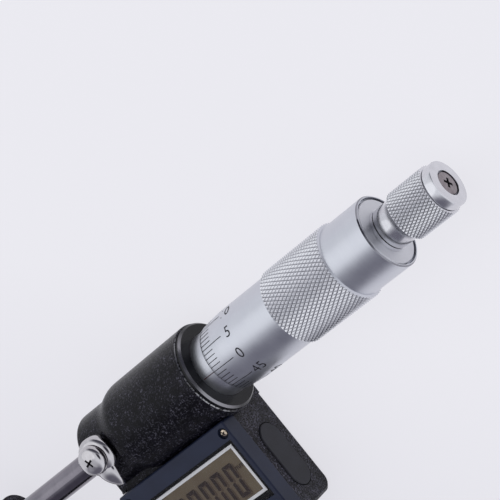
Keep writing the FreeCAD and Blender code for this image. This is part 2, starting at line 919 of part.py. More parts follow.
def click_wheel():
    # Toothed ring fixed on the stem.
    bore = stem_radius + fit_gap
    outer = cup_radius - running_gap
    root = click_x + click_length - tooth_height
    ring = tube(bore, outer, click_x, root)
    teeth = face_teeth(bore + tooth_margin, outer - tooth_margin, root - tooth_root, tooth_height)
    return fused([ring] + teeth)


def pawl_ring():
    # Toothed ring that the knob carries round and the spring pushes.
    bore = stem_radius + seat_gap
    outer = cup_radius - running_gap
    root = pawl_x + tooth_height
    ring = tube(bore, outer, root, pawl_x + pawl_length)
    teeth = face_teeth(bore + tooth_margin, outer - tooth_margin, root + tooth_root, -tooth_height)
    return fused([ring] + teeth)


def ratchet_spring():
    # Coil of flat wire round the stem.
    start = pawl_x + pawl_length + spring_wire + face_gap
    height = knob_floor_x - spring_wire - face_gap - start
    inner = stem_radius + spring_offset
    helix = Part.makeHelix(height / spring_turns, height, inner)
    corners = [point(inner + out, 0, up) for out, up in (
        (0, -spring_wire), (2 * spring_wire, -spring_wire), (2 * spring_wire, spring_wire), (0, spring_wire))]
    section = Part.makePolygon(corners + corners[:1])
    coil = Part.Wire(helix.Edges).makePipeShell([section], True, True)
    coil.rotate(point(0, 0, 0), along_y, 90)
    coil.translate(point(start, 0, 0))
    return coil


def ratchet_stem():
    # Turned shaft that pulls the thimble on to the spindle's taper and carries the knob.
    flange_end = stem_x + stem_flange_length
    shaft_end = recess_x - face_gap
    body = fused([
        rod(stem_spigot_radius, stem_x - stem_spigot_length, stem_x + fit_gap + weld),
        rod(stem_flange_radius, stem_x + fit_gap, flange_end),
        rod(stem_radius, flange_end - weld, shaft_end),
    ])
    hole = rod(screw_shank_radius + fit_gap, shaft_end - screw_shank_length - face_gap, shaft_end + beyond)
    return body.cut(hole)


def ratchet_knob():
    # Cup with a flared neck, a raised grip, a parting groove and a plain end.
    grip_x = knob_x + neck_length
    grip_end = grip_x + knob_grip_length
    end_x = grip_end + knob_groove
    groove_radius = knob_end_radius - knob_back_chamfer
    outer = turned([
        (knob_x, 0), (knob_x, neck_radius), (grip_x - neck_flare_length, neck_radius),
        (grip_x, neck_flare_radius), (grip_x + knob_front_chamfer, knob_radius),
        (grip_end - knob_back_chamfer, knob_radius), (grip_end, knob_radius - knob_back_chamfer),
        (grip_end, groove_radius), (end_x, groove_radius), (end_x, knob_end_radius),
        (knob_end_x - knob_edge, knob_end_radius), (knob_end_x, knob_end_radius - knob_edge),
        (knob_end_x, 0),
    ])
    return without(outer, [
        rod(cup_radius, knob_x - beyond, knob_floor_x),
        rod(stem_radius + running_gap, knob_x, knob_end_x),
        rod(screw_recess_radius, recess_x, knob_end_x + beyond),
    ])


def ratchet_screw():
    start = recess_x + face_gap / 2.0
    end = knob_end_x - ratchet_screw_sink
    head = rod(ratchet_screw_radius, start, end)
    shank = rod(screw_shank_radius, start - screw_shank_length, start + weld)
    crosses = []
    for half_y, half_z in ((cross_reach, cross_half), (cross_half, cross_reach)):
        crosses.append(block((end - cross_depth, end + beyond), (-half_y, half_y), (-half_z, half_z)))
    return without(fused([head, shank]), crosses)


# Display

def lcd_opening(margin, low, high):
    # The display module's outline, grown by a margin.
    return block((lcd_left - margin, lcd_right + margin), (-lcd_bottom - margin, -lcd_top + margin),
                 (low, high))


def window_opening(shrink, low, high):
    return block((window_left + shrink, window_right - shrink),
                 (-window_bottom + shrink, -window_top - shrink), (low, high))


def display_cover():
    # Deep lid: skin, side walls, corner posts and a ledge that carries the window.
    shell = block((housing_left, housing_right), (-housing_bottom, -housing_top), (joint_height, cover_top_z))
    corners = edges_along(shell, along_z, lambda c: True)
    shell = shell.makeFillet(cover_corner_radius, corners)
    top_edges = [edge for edge in shell.Edges if abs(edge.CenterOfMass.z - cover_top_z) < 1e-6]
    shell = shell.makeChamfer(cover_edge, top_edges)
    hollow = block((housing_left + cover_wall, housing_right - cover_wall),
                   (-housing_bottom + cover_wall, -housing_top - cover_wall),
                   (joint_height - beyond, cover_top_z - cover_skin))
    shell = shell.cut(hollow)
    ledge_low = ledge_top_z - ledge_thickness
    ledge = block((housing_left + cover_wall / 2.0, housing_right - cover_wall / 2.0),
                  (-window_bottom - ledge_margin, -window_top + ledge_margin),
                  (ledge_low, cover_top_z - cover_skin / 2.0))
    posts = []
    for x, y in corner_screw_places():
        posts.append(post(post_radius, x, y, joint_height, cover_top_z - cover_skin / 2.0))
    box = block((housing_left, housing_right), (-housing_bottom, -housing_top), (joint_height, cover_top_z))
    posts = [corner.common(box) for corner in posts]
    shell = fused([shell, ledge] + posts)
    cuts = [window_opening(0, ledge_top_z, cover_top_z + beyond),
            lcd_opening(seat_gap, joint_height - beyond, cover_top_z)]
    for x, y in corner_screw_places():
        cuts.append(post(screw_recess, x, y, screw_top_z - screw_head_height, cover_top_z + beyond))
        cuts.append(post(screw_radius + face_gap, x, y, joint_height - beyond, cover_top_z + beyond))
    for x in button_places():
        cuts.append(post(button_radius + running_gap, x, button_y, joint_height, cover_top_z + beyond))
        cuts.append(post(button_radius + button_flange + face_gap, x, button_y, joint_height,
                         cover_top_z - cover_skin))
    return without(shell, cuts).removeSplitter()


def display_mask():
    # Black surround between the ledge and the window.
    plate = window_opening(fit_gap, ledge_top_z, lcd_top_z)
    return plate.cut(lcd_opening(face_gap, ledge_top_z - beyond, mask_top_z + beyond))


def display_window():
    return window_opening(fit_gap, mask_top_z, mask_top_z + window_thickness)


def lcd_holder():
    # White frame on the board, open at the front, with a ledge for the panel.
    outer = lcd_opening(0, board_top_z, lcd_top_z)
    opening = lcd_opening(-lcd_rim, board_top_z - beyond, lcd_top_z + beyond)
    ledge = lcd_opening(-lcd_rim / 2.0, board_top_z, lcd_top_z - lcd_sink - lcd_thickness)
    inner = lcd_opening(-lcd_rim - lcd_ledge, board_top_z - beyond, lcd_top_z)
    return fused([outer.cut(opening), ledge.cut(inner)])


def lcd_panel():
    top = lcd_top_z - lcd_sink
    return lcd_opening(-lcd_rim - fit_gap, top - lcd_thickness, top)


def cover_screws():
    screws = []
    for x, y in corner_screw_places():
        head = post(screw_head_radius, x, y, screw_top_z - screw_head_height + fit_gap, screw_top_z)
        shank = post(screw_radius, x, y, cover_top_z - screw_length, screw_top_z - screw_head_height + weld)
        screws.append(fused([head, shank]))
    return Part.makeCompound(screws)


# Buttons and board

def button_places():
    return [button_middle_x - button_pitch, button_middle_x, button_middle_x + button_pitch]


def button(x):
    # Cap with a flange that stops it under the cover's skin.
    crown = cover_top_z + button_stand
    stem = post(button_radius, x, button_y, flange_low_z, crown)
    stem = stem.makeChamfer(button_edge, circles_at_z(stem, crown))
    flange = post(button_radius + button_flange, x, button_y, flange_low_z, flange_top_z)
    return fused([stem, flange])


def circuit_board():
    margin = housing_wall + seat_gap
    board = block((housing_left + margin, housing_right - margin),
                  (-housing_bottom + margin, cavity_top_y - seat_gap),
                  (board_z + fit_gap, board_top_z - fit_gap))
    cuts = [post(post_radius + seat_gap, x, y, board_z, board_top_z) for x, y in corner_screw_places()]
    return without(board, cuts)


def switch_domes():
    domes = []
    top = flange_low_z - button_travel - face_gap
    for x in button_places():
        foot = post(dome_radius, x, button_y, board_top_z, board_top_z + dome_height)
        stem = post(dome_stem_radius, x, button_y, board_top_z, top)
        domes.append(fused([foot, stem]))
    return Part.makeCompound(domes)


def data_connector():
    end = housing_right - plug_neck_depth - face_gap
    half = plug_neck_length / 2.0
    body = block((end - connector_length, end), (-port_y - half, -port_y + half),
                 (-port_z - plug_neck_width / 2.0, board_z - face_gap))
    socket = block((end - socket_depth, end + beyond),
                   (-port_y - half + socket_margin, -port_y + half - socket_margin),
                   (-port_z - socket_half_height, -port_z + socket_half_height))
    return body.cut(socket)


def data_plug():
    # Rubber stopper: a round-ended head in its recess and a neck through the wall.
    head = stadium_x(plug_length, plug_width, plug_head_x + fit_gap, plug_face_x)
    rim = [edge for edge in head.Edges if abs(edge.CenterOfMass.x - plug_face_x) < 1e-6]
    head = head.makeChamfer(plug_edge, rim)
    neck = stadium_x(plug_neck_length, plug_neck_width, housing_right - plug_neck_depth, plug_head_x + weld)
    return fused([head, neck])


def build():
    left, middle, right = button_places()
    return {
        "frame": frame_casting(),
        "anvil": anvil(),
        "anvil_tip": anvil_tip(),
        "spindle": spindle(),
        "spindle_tip": spindle_tip(),
        "lock_shoe": lock_shoe(),
        "lock_stud": lock_stud(),
        "lock_lever": lock_lever(),
        "lock_screw": lock_screw(),
        "encoder_stator": encoder_stator(),
        "encoder_rotor": encoder_rotor(),
        "rotor_hub": rotor_hub(),
        "rotor_washer": rotor_washer(),
        "encoder_ribbon": encoder_ribbon(),
        "collar_ring": collar_ring(),
        "thread_sleeve": thread_sleeve(),
        "graduated_sleeve": graduated_sleeve(),
        "adjusting_nut": adjusting_nut(),
        "thimble": thimble(),
        "thimble_hub": thimble_hub(),
        "click_wheel": click_wheel(),
        "pawl_ring": pawl_ring(),
        "ratchet_spring": ratchet_spring(),
        "ratchet_stem": ratchet_stem(),
        "ratchet_knob": ratchet_knob(),
        "ratchet_screw": ratchet_screw(),
        "display_cover": display_cover(),
        "display_mask": display_mask(),
        "display_window": display_window(),
        "lcd_holder": lcd_holder(),
        "lcd_panel": lcd_panel(),
        "cover_screws": cover_screws(),
        "button_left": button(left),
        "button_middle": button(middle),
        "button_right": button(right),
        "circuit_board": circuit_board(),
        "switch_domes": switch_domes(),
        "battery": battery_cell(),
        "battery_contact": battery_contact(),
        "battery_gasket": battery_gasket(),
        "battery_cap": battery_cap(),
        "data_connector": data_connector(),
        "data_plug": data_plug(),
    }


os.makedirs("parts", exist_ok=True)
for name, shape in build().items():
    shape.exportStep("parts/" + name + ".step")
    print(name, len(shape.Solids), shape.isValid(), round(shape.Volume, 1))
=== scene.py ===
import bpy
import math
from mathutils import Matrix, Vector


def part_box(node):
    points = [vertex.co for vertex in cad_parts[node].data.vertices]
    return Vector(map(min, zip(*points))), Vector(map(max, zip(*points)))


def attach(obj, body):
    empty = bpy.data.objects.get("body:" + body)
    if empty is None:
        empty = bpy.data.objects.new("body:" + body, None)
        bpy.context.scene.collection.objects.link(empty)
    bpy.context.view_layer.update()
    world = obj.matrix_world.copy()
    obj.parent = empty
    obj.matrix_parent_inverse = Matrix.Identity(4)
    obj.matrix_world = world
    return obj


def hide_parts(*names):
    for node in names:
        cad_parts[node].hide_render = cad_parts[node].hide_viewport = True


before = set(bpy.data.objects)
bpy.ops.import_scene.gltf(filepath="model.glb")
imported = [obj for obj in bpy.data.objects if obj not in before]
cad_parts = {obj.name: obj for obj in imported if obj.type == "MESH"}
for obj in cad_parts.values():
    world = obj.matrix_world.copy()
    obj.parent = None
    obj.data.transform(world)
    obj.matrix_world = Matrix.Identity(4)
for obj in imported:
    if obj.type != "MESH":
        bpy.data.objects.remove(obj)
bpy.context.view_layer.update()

mm = 0.001
print("frame loaded:", len(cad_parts), "nodes")


# Colours and nodes

def hexColour(text):
    # sRGB hex to the linear values that shaders take
    values = [int(text[i:i + 2], 16) / 255 for i in (1, 3, 5)]
    return [v / 12.92 if v <= 0.04045 else ((v + 0.055) / 1.055) ** 2.4 for v in values] + [1.0]


def grey(level):
    return [level, level, level, 1.0]


blackToWhite = (grey(0.0), grey(1.0))
# most values of a noise texture lie in these spans
closeSpan = (0.35, 0.65)
wideSpan = (0.3, 0.7)


def addNode(tree, kind, inputs=None, **settings):
    # Each input takes another node's socket or a plain value
    item = tree.nodes.new(kind)
    for key, value in settings.items():
        setattr(item, key, value)
    for key, value in (inputs or {}).items():
        if isinstance(value, bpy.types.NodeSocket):
            tree.links.new(value, item.inputs[key])
        else:
            item.inputs[key].default_value = value
    return item


def addNoise(tree, place, lumpMm, detail, **more):
    inputs = {"Vector": place, "Scale": 1000 / lumpMm, "Detail": detail, **more}
    return addNode(tree, "ShaderNodeTexNoise", inputs).outputs["Fac"]


def addMath(tree, operation, *terms, **settings):
    item = addNode(tree, "ShaderNodeMath", dict(enumerate(terms)), operation=operation, **settings)
    return item.outputs[0]


def addRange(tree, source, low, high, outLow=0.0, outHigh=1.0, **settings):
    inputs = {"Value": source, "From Min": low, "From Max": high, "To Min": outLow, "To Max": outHigh}
    return addNode(tree, "ShaderNodeMapRange", inputs, **settings).outputs[0]


def addRamp(tree, source, values, colours):
    # Two values of the source, and the colours that they get
    ramp = addNode(tree, "ShaderNodeValToRGB", {0: source})
    for end in range(2):
        ramp.color_ramp.elements[end].position = values[end]
        ramp.color_ramp.elements[end].color = colours[end]
    return ramp.outputs[0]


def addMix(tree, share, under, over):
    return addNode(tree, "ShaderNodeMix", {0: share, 6: under, 7: over}, data_type="RGBA").outputs[2]


def addBump(tree, shader, height, look):
    inputs = {"Strength": look["bump"], "Distance": look["depthMm"] * mm, "Height": height}
    tree.links.new(addNode(tree, "ShaderNodeBump", inputs).outputs[0], shader.inputs["Normal"])


def parts(tree, vector):
    return addNode(tree, "ShaderNodeSeparateXYZ", {0: vector}).outputs


def coverShader(tree, shader, share, cover):
    both = addNode(tree, "ShaderNodeMixShader", {0: share, 1: shader.outputs[0], 2: cover.outputs[0]})
    tree.links.new(both.outputs[0], tree.nodes["Material Output"].inputs["Surface"])


def wearToSteel(tree, shader, amount, look):
    # Bare steel laid over the finish by the given amount: real wear, and a painted highlight where the amount
    # follows the upper side
    bare = addNode(tree, "ShaderNodeBsdfPrincipled", {
        "Base Color": hexColour(look["bareSteel"]), "Metallic": 1.0, "Roughness": look["bareSteelRoughness"]})
    coverShader(tree, shader, amount, bare)


def startMaterial(name, values):
    # A new material with its shader's own sockets set
    material = bpy.data.materials.new(name)
    material.use_nodes = True
    tree = material.node_tree
    shader = tree.nodes["Principled BSDF"]
    for key, value in values.items():
        shader.inputs[key].default_value = value
    place = addNode(tree, "ShaderNodeTexCoord").outputs["Object"]
    return material, tree, shader, place


# Metals

def machinedMetal(name, metal):
    # Turned or ground metal: fine rings round the axis, faint clouds and a little uneven gloss
    material, tree, shader, place = startMaterial(name, {"Metallic": 1.0})
    smear = 1000 / metal["smearMm"]
    rings = addNode(tree, "ShaderNodeMapping",
                    {"Vector": place, "Scale": (1000 / metal["ringMm"], smear, smear)})
    lines = addNode(tree, "ShaderNodeTexNoise", {"Vector": rings.outputs[0], "Scale": 1.0, "Detail": 3.0,
                                                 "Roughness": 0.6}).outputs["Fac"]
    cloud = addNoise(tree, place, metal["cloudMm"], 4.0)
    half = addMath(tree, "MULTIPLY", addMath(tree, "ADD", lines, cloud), 0.5)
    colour = addRamp(tree, half, closeSpan, (hexColour(metal["dark"]), hexColour(metal["light"])))
    if "grooves" in metal:
        # grease and painted shade down in the knurl's grooves, bright wear and painted highlight on its
        # points
        root, crest, greaseAndShade = metal["grooves"]
        split = parts(tree, place)
        across = addNode(tree, "ShaderNodeCombineXYZ", {1: split["Y"], 2: split["Z"]})
        radius = addNode(tree, "ShaderNodeVectorMath", {0: across.outputs[0]}, operation="LENGTH")
        height = addRange(tree, radius.outputs["Value"], root * mm, crest * mm)
        colour = addMix(tree, height, hexColour(greaseAndShade), colour)
    tree.links.new(colour, shader.inputs["Base Color"])
    gloss = addRange(tree, half, *closeSpan, metal["roughLow"], metal["roughHigh"])
    tree.links.new(gloss, shader.inputs["Roughness"])
    addBump(tree, shader, lines, metal)
    return material


metals = {
    # satin chromed steel, blasted before plating: broad soft highlights, pale and slightly blue
    "satinChrome": {"dark": "#CDCFD6", "light": "#D6D8DE", "roughLow": 0.32, "roughHigh": 0.38,
                    "ringMm": 0.12, "smearMm": 40.0, "cloudMm": 3.5, "bump": 0.04, "depthMm": 0.01},
    # chromed diamond knurl of the thimble: points bright by wear and painted highlight, grooves dull with
    # grease and painted shade
    "knurledChrome": {"dark": "#E4E5E9", "light": "#F0F0F3", "roughLow": 0.20, "roughHigh": 0.28,
                      "ringMm": 0.5, "smearMm": 0.5, "cloudMm": 1.0, "bump": 0.04, "depthMm": 0.01,
                      "grooves": (9.37, 9.50, "#77767E")},
    # the same on the ratchet's finer knurl
    "knurledRatchet": {"dark": "#E2E3E7", "light": "#EFEFF2", "roughLow": 0.16, "roughHigh": 0.24,
                       "ringMm": 0.5, "smearMm": 0.5, "cloudMm": 1.0, "bump": 0.04, "depthMm": 0.01,
                       "grooves": (5.76, 5.88, "#55545A")},
    # turned and brightly chromed steel of the ratchet's neck and ring: clear, slightly soft reflections
    "brightChrome": {"dark": "#D3D3D7", "light": "#DFDFE3", "roughLow": 0.13, "roughHigh": 0.19,
                     "ringMm": 0.2, "smearMm": 20.0, "cloudMm": 2.0, "bump": 0.04, "depthMm": 0.01},
    # burnished edge of the thimble: near mirror, so it goes dark or bright as a whole; its chrome is darkened
    # well below the thimble's as painted shade
    "shadedEdgeChrome": {"dark": "#8C8C93", "light": "#9A9AA1", "roughLow": 0.08, "roughHigh": 0.12,
                   "ringMm": 0.5, "smearMm": 20.0, "cloudMm": 2.0, "bump": 0.02, "depthMm": 0.01},
    # the thimble's rear cap, turned and blasted duller than the thimble
    "dullChrome": {"dark": "#D2D3D8", "light": "#DEDFE3", "roughLow": 0.46, "roughHigh": 0.54,
                   "ringMm": 0.15, "smearMm": 20.0, "cloudMm": 3.0, "bump": 0.05, "depthMm": 0.01},
    # polished chrome of the lock: mirror-like, only a faint haze
    "polishedChrome": {"dark": "#BDBABC", "light": "#CFCDCF", "roughLow": 0.06, "roughHigh": 0.12,
                       "ringMm": 1.5, "smearMm": 3.0, "cloudMm": 2.0, "bump": 0.03, "depthMm": 0.01},
    # ground spindle steel: darker than chrome, with grinding lines round it
    "groundSteel": {"dark": "#77737B", "light": "#8D8990", "roughLow": 0.14, "roughHigh": 0.22,
                    "ringMm": 0.08, "smearMm": 20.0, "cloudMm": 4.0, "bump": 0.06, "depthMm": 0.008},
    # tungsten carbide: darker and lapped smooth
    "lappedCarbide": {"dark": "#7E8085", "light": "#8E9095", "roughLow": 0.16, "roughHigh": 0.24,
                      "ringMm": 0.2, "smearMm": 5.0, "cloudMm": 1.5, "bump": 0.04, "depthMm": 0.005},
    # turned steel of the inner sleeve, stud and click rings
    "turnedSteel": {"dark": "#9A9CA1", "light": "#B2B4B8", "roughLow": 0.26, "roughHigh": 0.36,
                    "ringMm": 0.15, "smearMm": 15.0, "cloudMm": 2.0, "bump": 0.15, "depthMm": 0.015},
    # drawn spring wire
    "springSteel": {"dark": "#80828A", "light": "#9C9EA4", "roughLow": 0.25, "roughHigh": 0.35,
                    "ringMm": 0.6, "smearMm": 0.6, "cloudMm": 1.0, "bump": 0.05, "depthMm": 0.01},
    # browned steel of the ratchet's screw: warm grey, dull
    "brownedSteel": {"dark": "#80787B", "light": "#A69EA1", "roughLow": 0.30, "roughHigh": 0.42,
                     "ringMm": 0.3, "smearMm": 2.0, "cloudMm": 0.9, "bump": 0.10, "depthMm": 0.015},
    # machined brass
    "machinedBrass": {"dark": "#B8914A", "light": "#D4B068", "roughLow": 0.25, "roughHigh": 0.36,
                      "ringMm": 0.15, "smearMm": 8.0, "cloudMm": 2.0, "bump": 0.15, "depthMm": 0.01},
    # pale gilt plating on the small screws and contacts
    "giltPlating": {"dark": "#B5A38C", "light": "#DDCFBD", "roughLow": 0.16, "roughHigh": 0.26,
                    "ringMm": 0.4, "smearMm": 0.8, "cloudMm": 0.6, "bump": 0.06, "depthMm": 0.01},
    # nickel plated can of the coin cell
    "nickelPlating": {"dark": "#BDBCB8", "light": "#D2D1CC", "roughLow": 0.18, "roughHigh": 0.28,
                      "ringMm": 0.3, "smearMm": 6.0, "cloudMm": 3.0, "bump": 0.06, "depthMm": 0.01},
}
finish = {name: machinedMetal(name, metal) for name, metal in metals.items()}
print("metals ready")


# Paint, plastics, rubber and glass

hammerPaint = {
    "ground": "#07060B", "pool": "#12111A", "speck": "#605E6B", "bareSteel": "#A8A8AA", "speckMm": 0.45,
    "grainMm": 0.28, "poolMm": 2.2, "wornMm": 0.55, "roughness": 0.26, "bareSteelRoughness": 0.3, "specular": 0.15,
    "bump": 0.7, "depthMm": 0.085, "fleckRise": 0.8, "grainRise": 0.25, "sideFleckHighlight": 0.08,
    # noise values where each thing starts and where it is full
    "flecks": (0.54, 0.67), "pools": (0.36, 0.60), "grounds": (0.35, 0.75), "chips": (0.42, 0.50),
    "fewestFlecks": 0.12, "rimX": 69.6, "wearAndHighlightZ": (3.5, 9.0),
}


def makeHammertone(name, paint):
    # Hammertone enamel on cast iron: glossy black pools between small grey flecks, bared to steel on the
    # turned rim by wear and a painted highlight
    material, tree, shader, place = startMaterial(name, {"Roughness": paint["roughness"], "IOR": 1.5,
                                                         "Specular IOR Level": paint["specular"]})
    flecks = addNoise(tree, place, paint["speckMm"], 3.0, Roughness=0.65, Distortion=0.6)
    pools = addNoise(tree, place, paint["poolMm"], 3.0, Roughness=0.6)
    grain = addNode(tree, "ShaderNodeTexVoronoi", {"Vector": place, "Scale": 1000 / paint["grainMm"],
                                                   "Smoothness": 0.4}, feature="SMOOTH_F1")
    # faces turned towards +X get more grey flecks: a painted highlight on that side of the housing
    outward = parts(tree, addNode(tree, "ShaderNodeNewGeometry").outputs["True Normal"])
    flecksWithSideHighlight = addMath(tree, "MULTIPLY_ADD", outward["X"], paint["sideFleckHighlight"], flecks)
    raised = addRamp(tree, flecksWithSideHighlight, paint["flecks"], blackToWhite)
    gate = addRamp(tree, pools, paint["pools"], (grey(paint["fewestFlecks"]), grey(1.0)))
    amount = addMath(tree, "MULTIPLY", raised, gate)
    base = addRamp(tree, pools, paint["grounds"], (hexColour(paint["ground"]), hexColour(paint["pool"])))
    tree.links.new(addMix(tree, amount, base, hexColour(paint["speck"])), shader.inputs["Base Color"])
    lumps = addMath(tree, "MULTIPLY_ADD", raised, paint["fleckRise"], flecks)
    height = addMath(tree, "MULTIPLY_ADD", grain.outputs["Distance"], paint["grainRise"], lumps)
    addBump(tree, shader, height, paint)

    # the turned rim at the barrel's end, where handling has chipped the paint back to steel; the bare steel
    # is kept to the upper side as a painted highlight
    split = parts(tree, place)
    rim = addMath(tree, "GREATER_THAN", split["X"], paint["rimX"] * mm)
    chipped = addRamp(tree, addNoise(tree, place, paint["wornMm"], 3.0), paint["chips"], blackToWhite)
    wearAndHighlight = addRange(tree, split["Z"], paint["wearAndHighlightZ"][0] * mm, paint["wearAndHighlightZ"][1] * mm)
    front = addMath(tree, "MULTIPLY", rim, wearAndHighlight)
    wearToSteel(tree, shader, addMath(tree, "MULTIPLY", front, chipped), paint)
    return material


finish["hammertoneEnamel"] = makeHammertone("hammertoneEnamel", hammerPaint)


def mouldedPlastic(name, plastic):
    # Moulded plastic or rubber: fine eroded grain and a faint drift of colour
    material, tree, shader, place = startMaterial(name, {"IOR": plastic["ior"],
                                                         "Specular IOR Level": plastic["specular"]})
    grain = addNoise(tree, place, plastic["grainMm"], 3.0)
    drift = addNoise(tree, place, plastic["driftMm"], 2.0)
    colour = addRamp(tree, drift, closeSpan, (hexColour(plastic["dark"]), hexColour(plastic["light"])))
    tree.links.new(colour, shader.inputs["Base Color"])
    gloss = addRange(tree, grain, *wideSpan, plastic["roughLow"], plastic["roughHigh"])
    tree.links.new(gloss, shader.inputs["Roughness"])
    addBump(tree, shader, grain, plastic)
    return material


plastics = {
    # ABS lid, blue-black, fine satin grain
    "coverAbs": {"dark": "#1D2338", "light": "#232A41", "ior": 1.53, "specular": 0.3, "roughLow": 0.36,
                 "roughHigh": 0.48, "grainMm": 0.25, "driftMm": 9.0, "bump": 0.10, "depthMm": 0.01},
    # black ABS mask and connector shells
    "blackAbs": {"dark": "#070709", "light": "#0C0C0F", "ior": 1.53, "specular": 0.2, "roughLow": 0.32,
                 "roughHigh": 0.44, "grainMm": 0.25, "driftMm": 6.0, "bump": 0.08, "depthMm": 0.01},
    # white moulded display frame
    "whiteAbs": {"dark": "#F8F7F8", "light": "#FEFDFE", "ior": 1.53, "specular": 0.5, "roughLow": 0.35,
                 "roughHigh": 0.48, "grainMm": 0.3, "driftMm": 5.0, "bump": 0.06, "depthMm": 0.01},
    # moulded rubber stopper and buttons: charcoal, soft sheen
    "mouldedRubber": {"dark": "#26262C", "light": "#2C2C33", "ior": 1.52, "specular": 0.35,
                      "roughLow": 0.50, "roughHigh": 0.62, "grainMm": 0.3, "driftMm": 4.0, "bump": 0.12,
                      "depthMm": 0.012},
    # seal rubber of the battery's cap
    "sealRubber": {"dark": "#0E0E10", "light": "#17171A", "ior": 1.52, "specular": 0.4, "roughLow": 0.48,
                   "roughHigh": 0.60, "grainMm": 0.4, "driftMm": 2.0, "bump": 0.10, "depthMm": 0.01},
    # green solder mask on glass fibre
    "solderMask": {"dark": "#0F4A2B", "light": "#176038", "ior": 1.55, "specular": 0.5, "roughLow": 0.25,
                   "roughHigh": 0.38, "grainMm": 0.6, "driftMm": 3.0, "bump": 0.08, "depthMm": 0.01},
    # amber polyimide film of the ribbon
    "polyimideFilm": {"dark": "#A66A1C", "light": "#BD7E2B", "ior": 1.6, "specular": 0.5, "roughLow": 0.2,
                      "roughHigh": 0.32, "grainMm": 0.8, "driftMm": 2.0, "bump": 0.04, "depthMm": 0.01},
    # black filled engraving, also laid in the screws' cross recesses as painted shade
    "engravingFillAndRecessShade": {"dark": "#1D1B20", "light": "#29262C", "ior": 1.5, "specular": 0.3, "roughLow": 0.5,
                      "roughHigh": 0.7, "grainMm": 0.15, "driftMm": 1.0, "bump": 0.1, "depthMm": 0.005},
    # dark red-brown filling of the sleeve's index line
    "indexFill": {"dark": "#3A2226", "light": "#4A2B30", "ior": 1.5, "specular": 0.3, "roughLow": 0.5,
                  "roughHigh": 0.7, "grainMm": 0.15, "driftMm": 1.0, "bump": 0.1, "depthMm": 0.005},
    # dark liquid crystal segments, and the shadow that they throw on the reflector behind them
    "crystalInk": {"dark": "#352A29", "light": "#3D302E", "ior": 1.5, "specular": 0.3, "roughLow": 0.3,
                   "roughHigh": 0.4, "grainMm": 0.4, "driftMm": 3.0, "bump": 0.02, "depthMm": 0.005},
    "crystalShadow": {"dark": "#584A3F", "light": "#605144", "ior": 1.5, "specular": 0.3, "roughLow": 0.3,
                      "roughHigh": 0.4, "grainMm": 0.4, "driftMm": 3.0, "bump": 0.02, "depthMm": 0.005},
    # olive-brown polariser film of the display
    "polariserFilm": {"dark": "#6A5C4D", "light": "#7A6D59", "ior": 1.5, "specular": 0.3, "roughLow": 0.28,
                      "roughHigh": 0.36, "grainMm": 0.5, "driftMm": 12.0, "bump": 0.02, "depthMm": 0.005},
}
finish.update({name: mouldedPlastic(name, plastic) for name, plastic in plastics.items()})

windowPane = {"tint": "#20222A", "veil": 0.05, "smudgeMm": 6.0, "roughLow": 0.03, "roughHigh": 0.09}


def clearAcrylic(name, pane):
    # Cast acrylic window: almost no colour, seen only by its gloss and a few smudges
    material, tree, shader, place = startMaterial(name, {"Base Color": hexColour(pane["tint"]), "IOR": 1.49,
                                                         "Alpha": pane["veil"]})
    smudge = addNoise(tree, place, pane["smudgeMm"], 4.0)
    gloss = addRange(tree, smudge, *wideSpan, pane["roughLow"], pane["roughHigh"])
    tree.links.new(gloss, shader.inputs["Roughness"])
    return material


finish["clearAcrylic"] = clearAcrylic("clearAcrylic", windowPane)

collarSteel = {
    "black": "#09090C", "sheen": "#141419", "bareSteel": "#949397", "grainMm": 0.35, "roughness": 0.26,
    "bareSteelRoughness": 0.24, "specular": 0.24, "bump": 0.12, "depthMm": 0.01, "chamferAngle": 45,
    "chamferSpread": 0.05, "leastBareSteel": 0.12, "wearAndHighlightZ": (2.5, 7.0),
}


def blackenedCollar(name, collar):
    # Blackened steel collar: dull black cone, its front chamfer rubbed back to grey steel, partly wear and
    # partly painted highlight
    material, tree, shader, place = startMaterial(name, {"IOR": 1.5, "Roughness": collar["roughness"],
                                                         "Specular IOR Level": collar["specular"]})
    grain = addNoise(tree, place, collar["grainMm"], 3.0)
    black = addRamp(tree, grain, closeSpan, (hexColour(collar["black"]), hexColour(collar["sheen"])))
    tree.links.new(black, shader.inputs["Base Color"])
    addBump(tree, shader, grain, collar)
    # the chamfer is found by its slope, and its bare steel grows towards the side that faces up: partly wear,
    # partly painted highlight
    facing = parts(tree, addNode(tree, "ShaderNodeNewGeometry").outputs["True Normal"])
    slope = addMath(tree, "COMPARE", facing["X"], math.cos(math.radians(collar["chamferAngle"])),
                    collar["chamferSpread"])
    wearAndHighlight = addRange(tree, parts(tree, place)["Z"], collar["wearAndHighlightZ"][0] * mm, collar["wearAndHighlightZ"][1] * mm,
                       collar["leastBareSteel"])
    wearToSteel(tree, shader, addMath(tree, "MULTIPLY", slope, wearAndHighlight), collar)
    return material


finish["blackenedCollar"] = blackenedCollar("blackenedCollar", collarSteel)
print("paint and plastics ready")


# Finishes of the modelled nodes

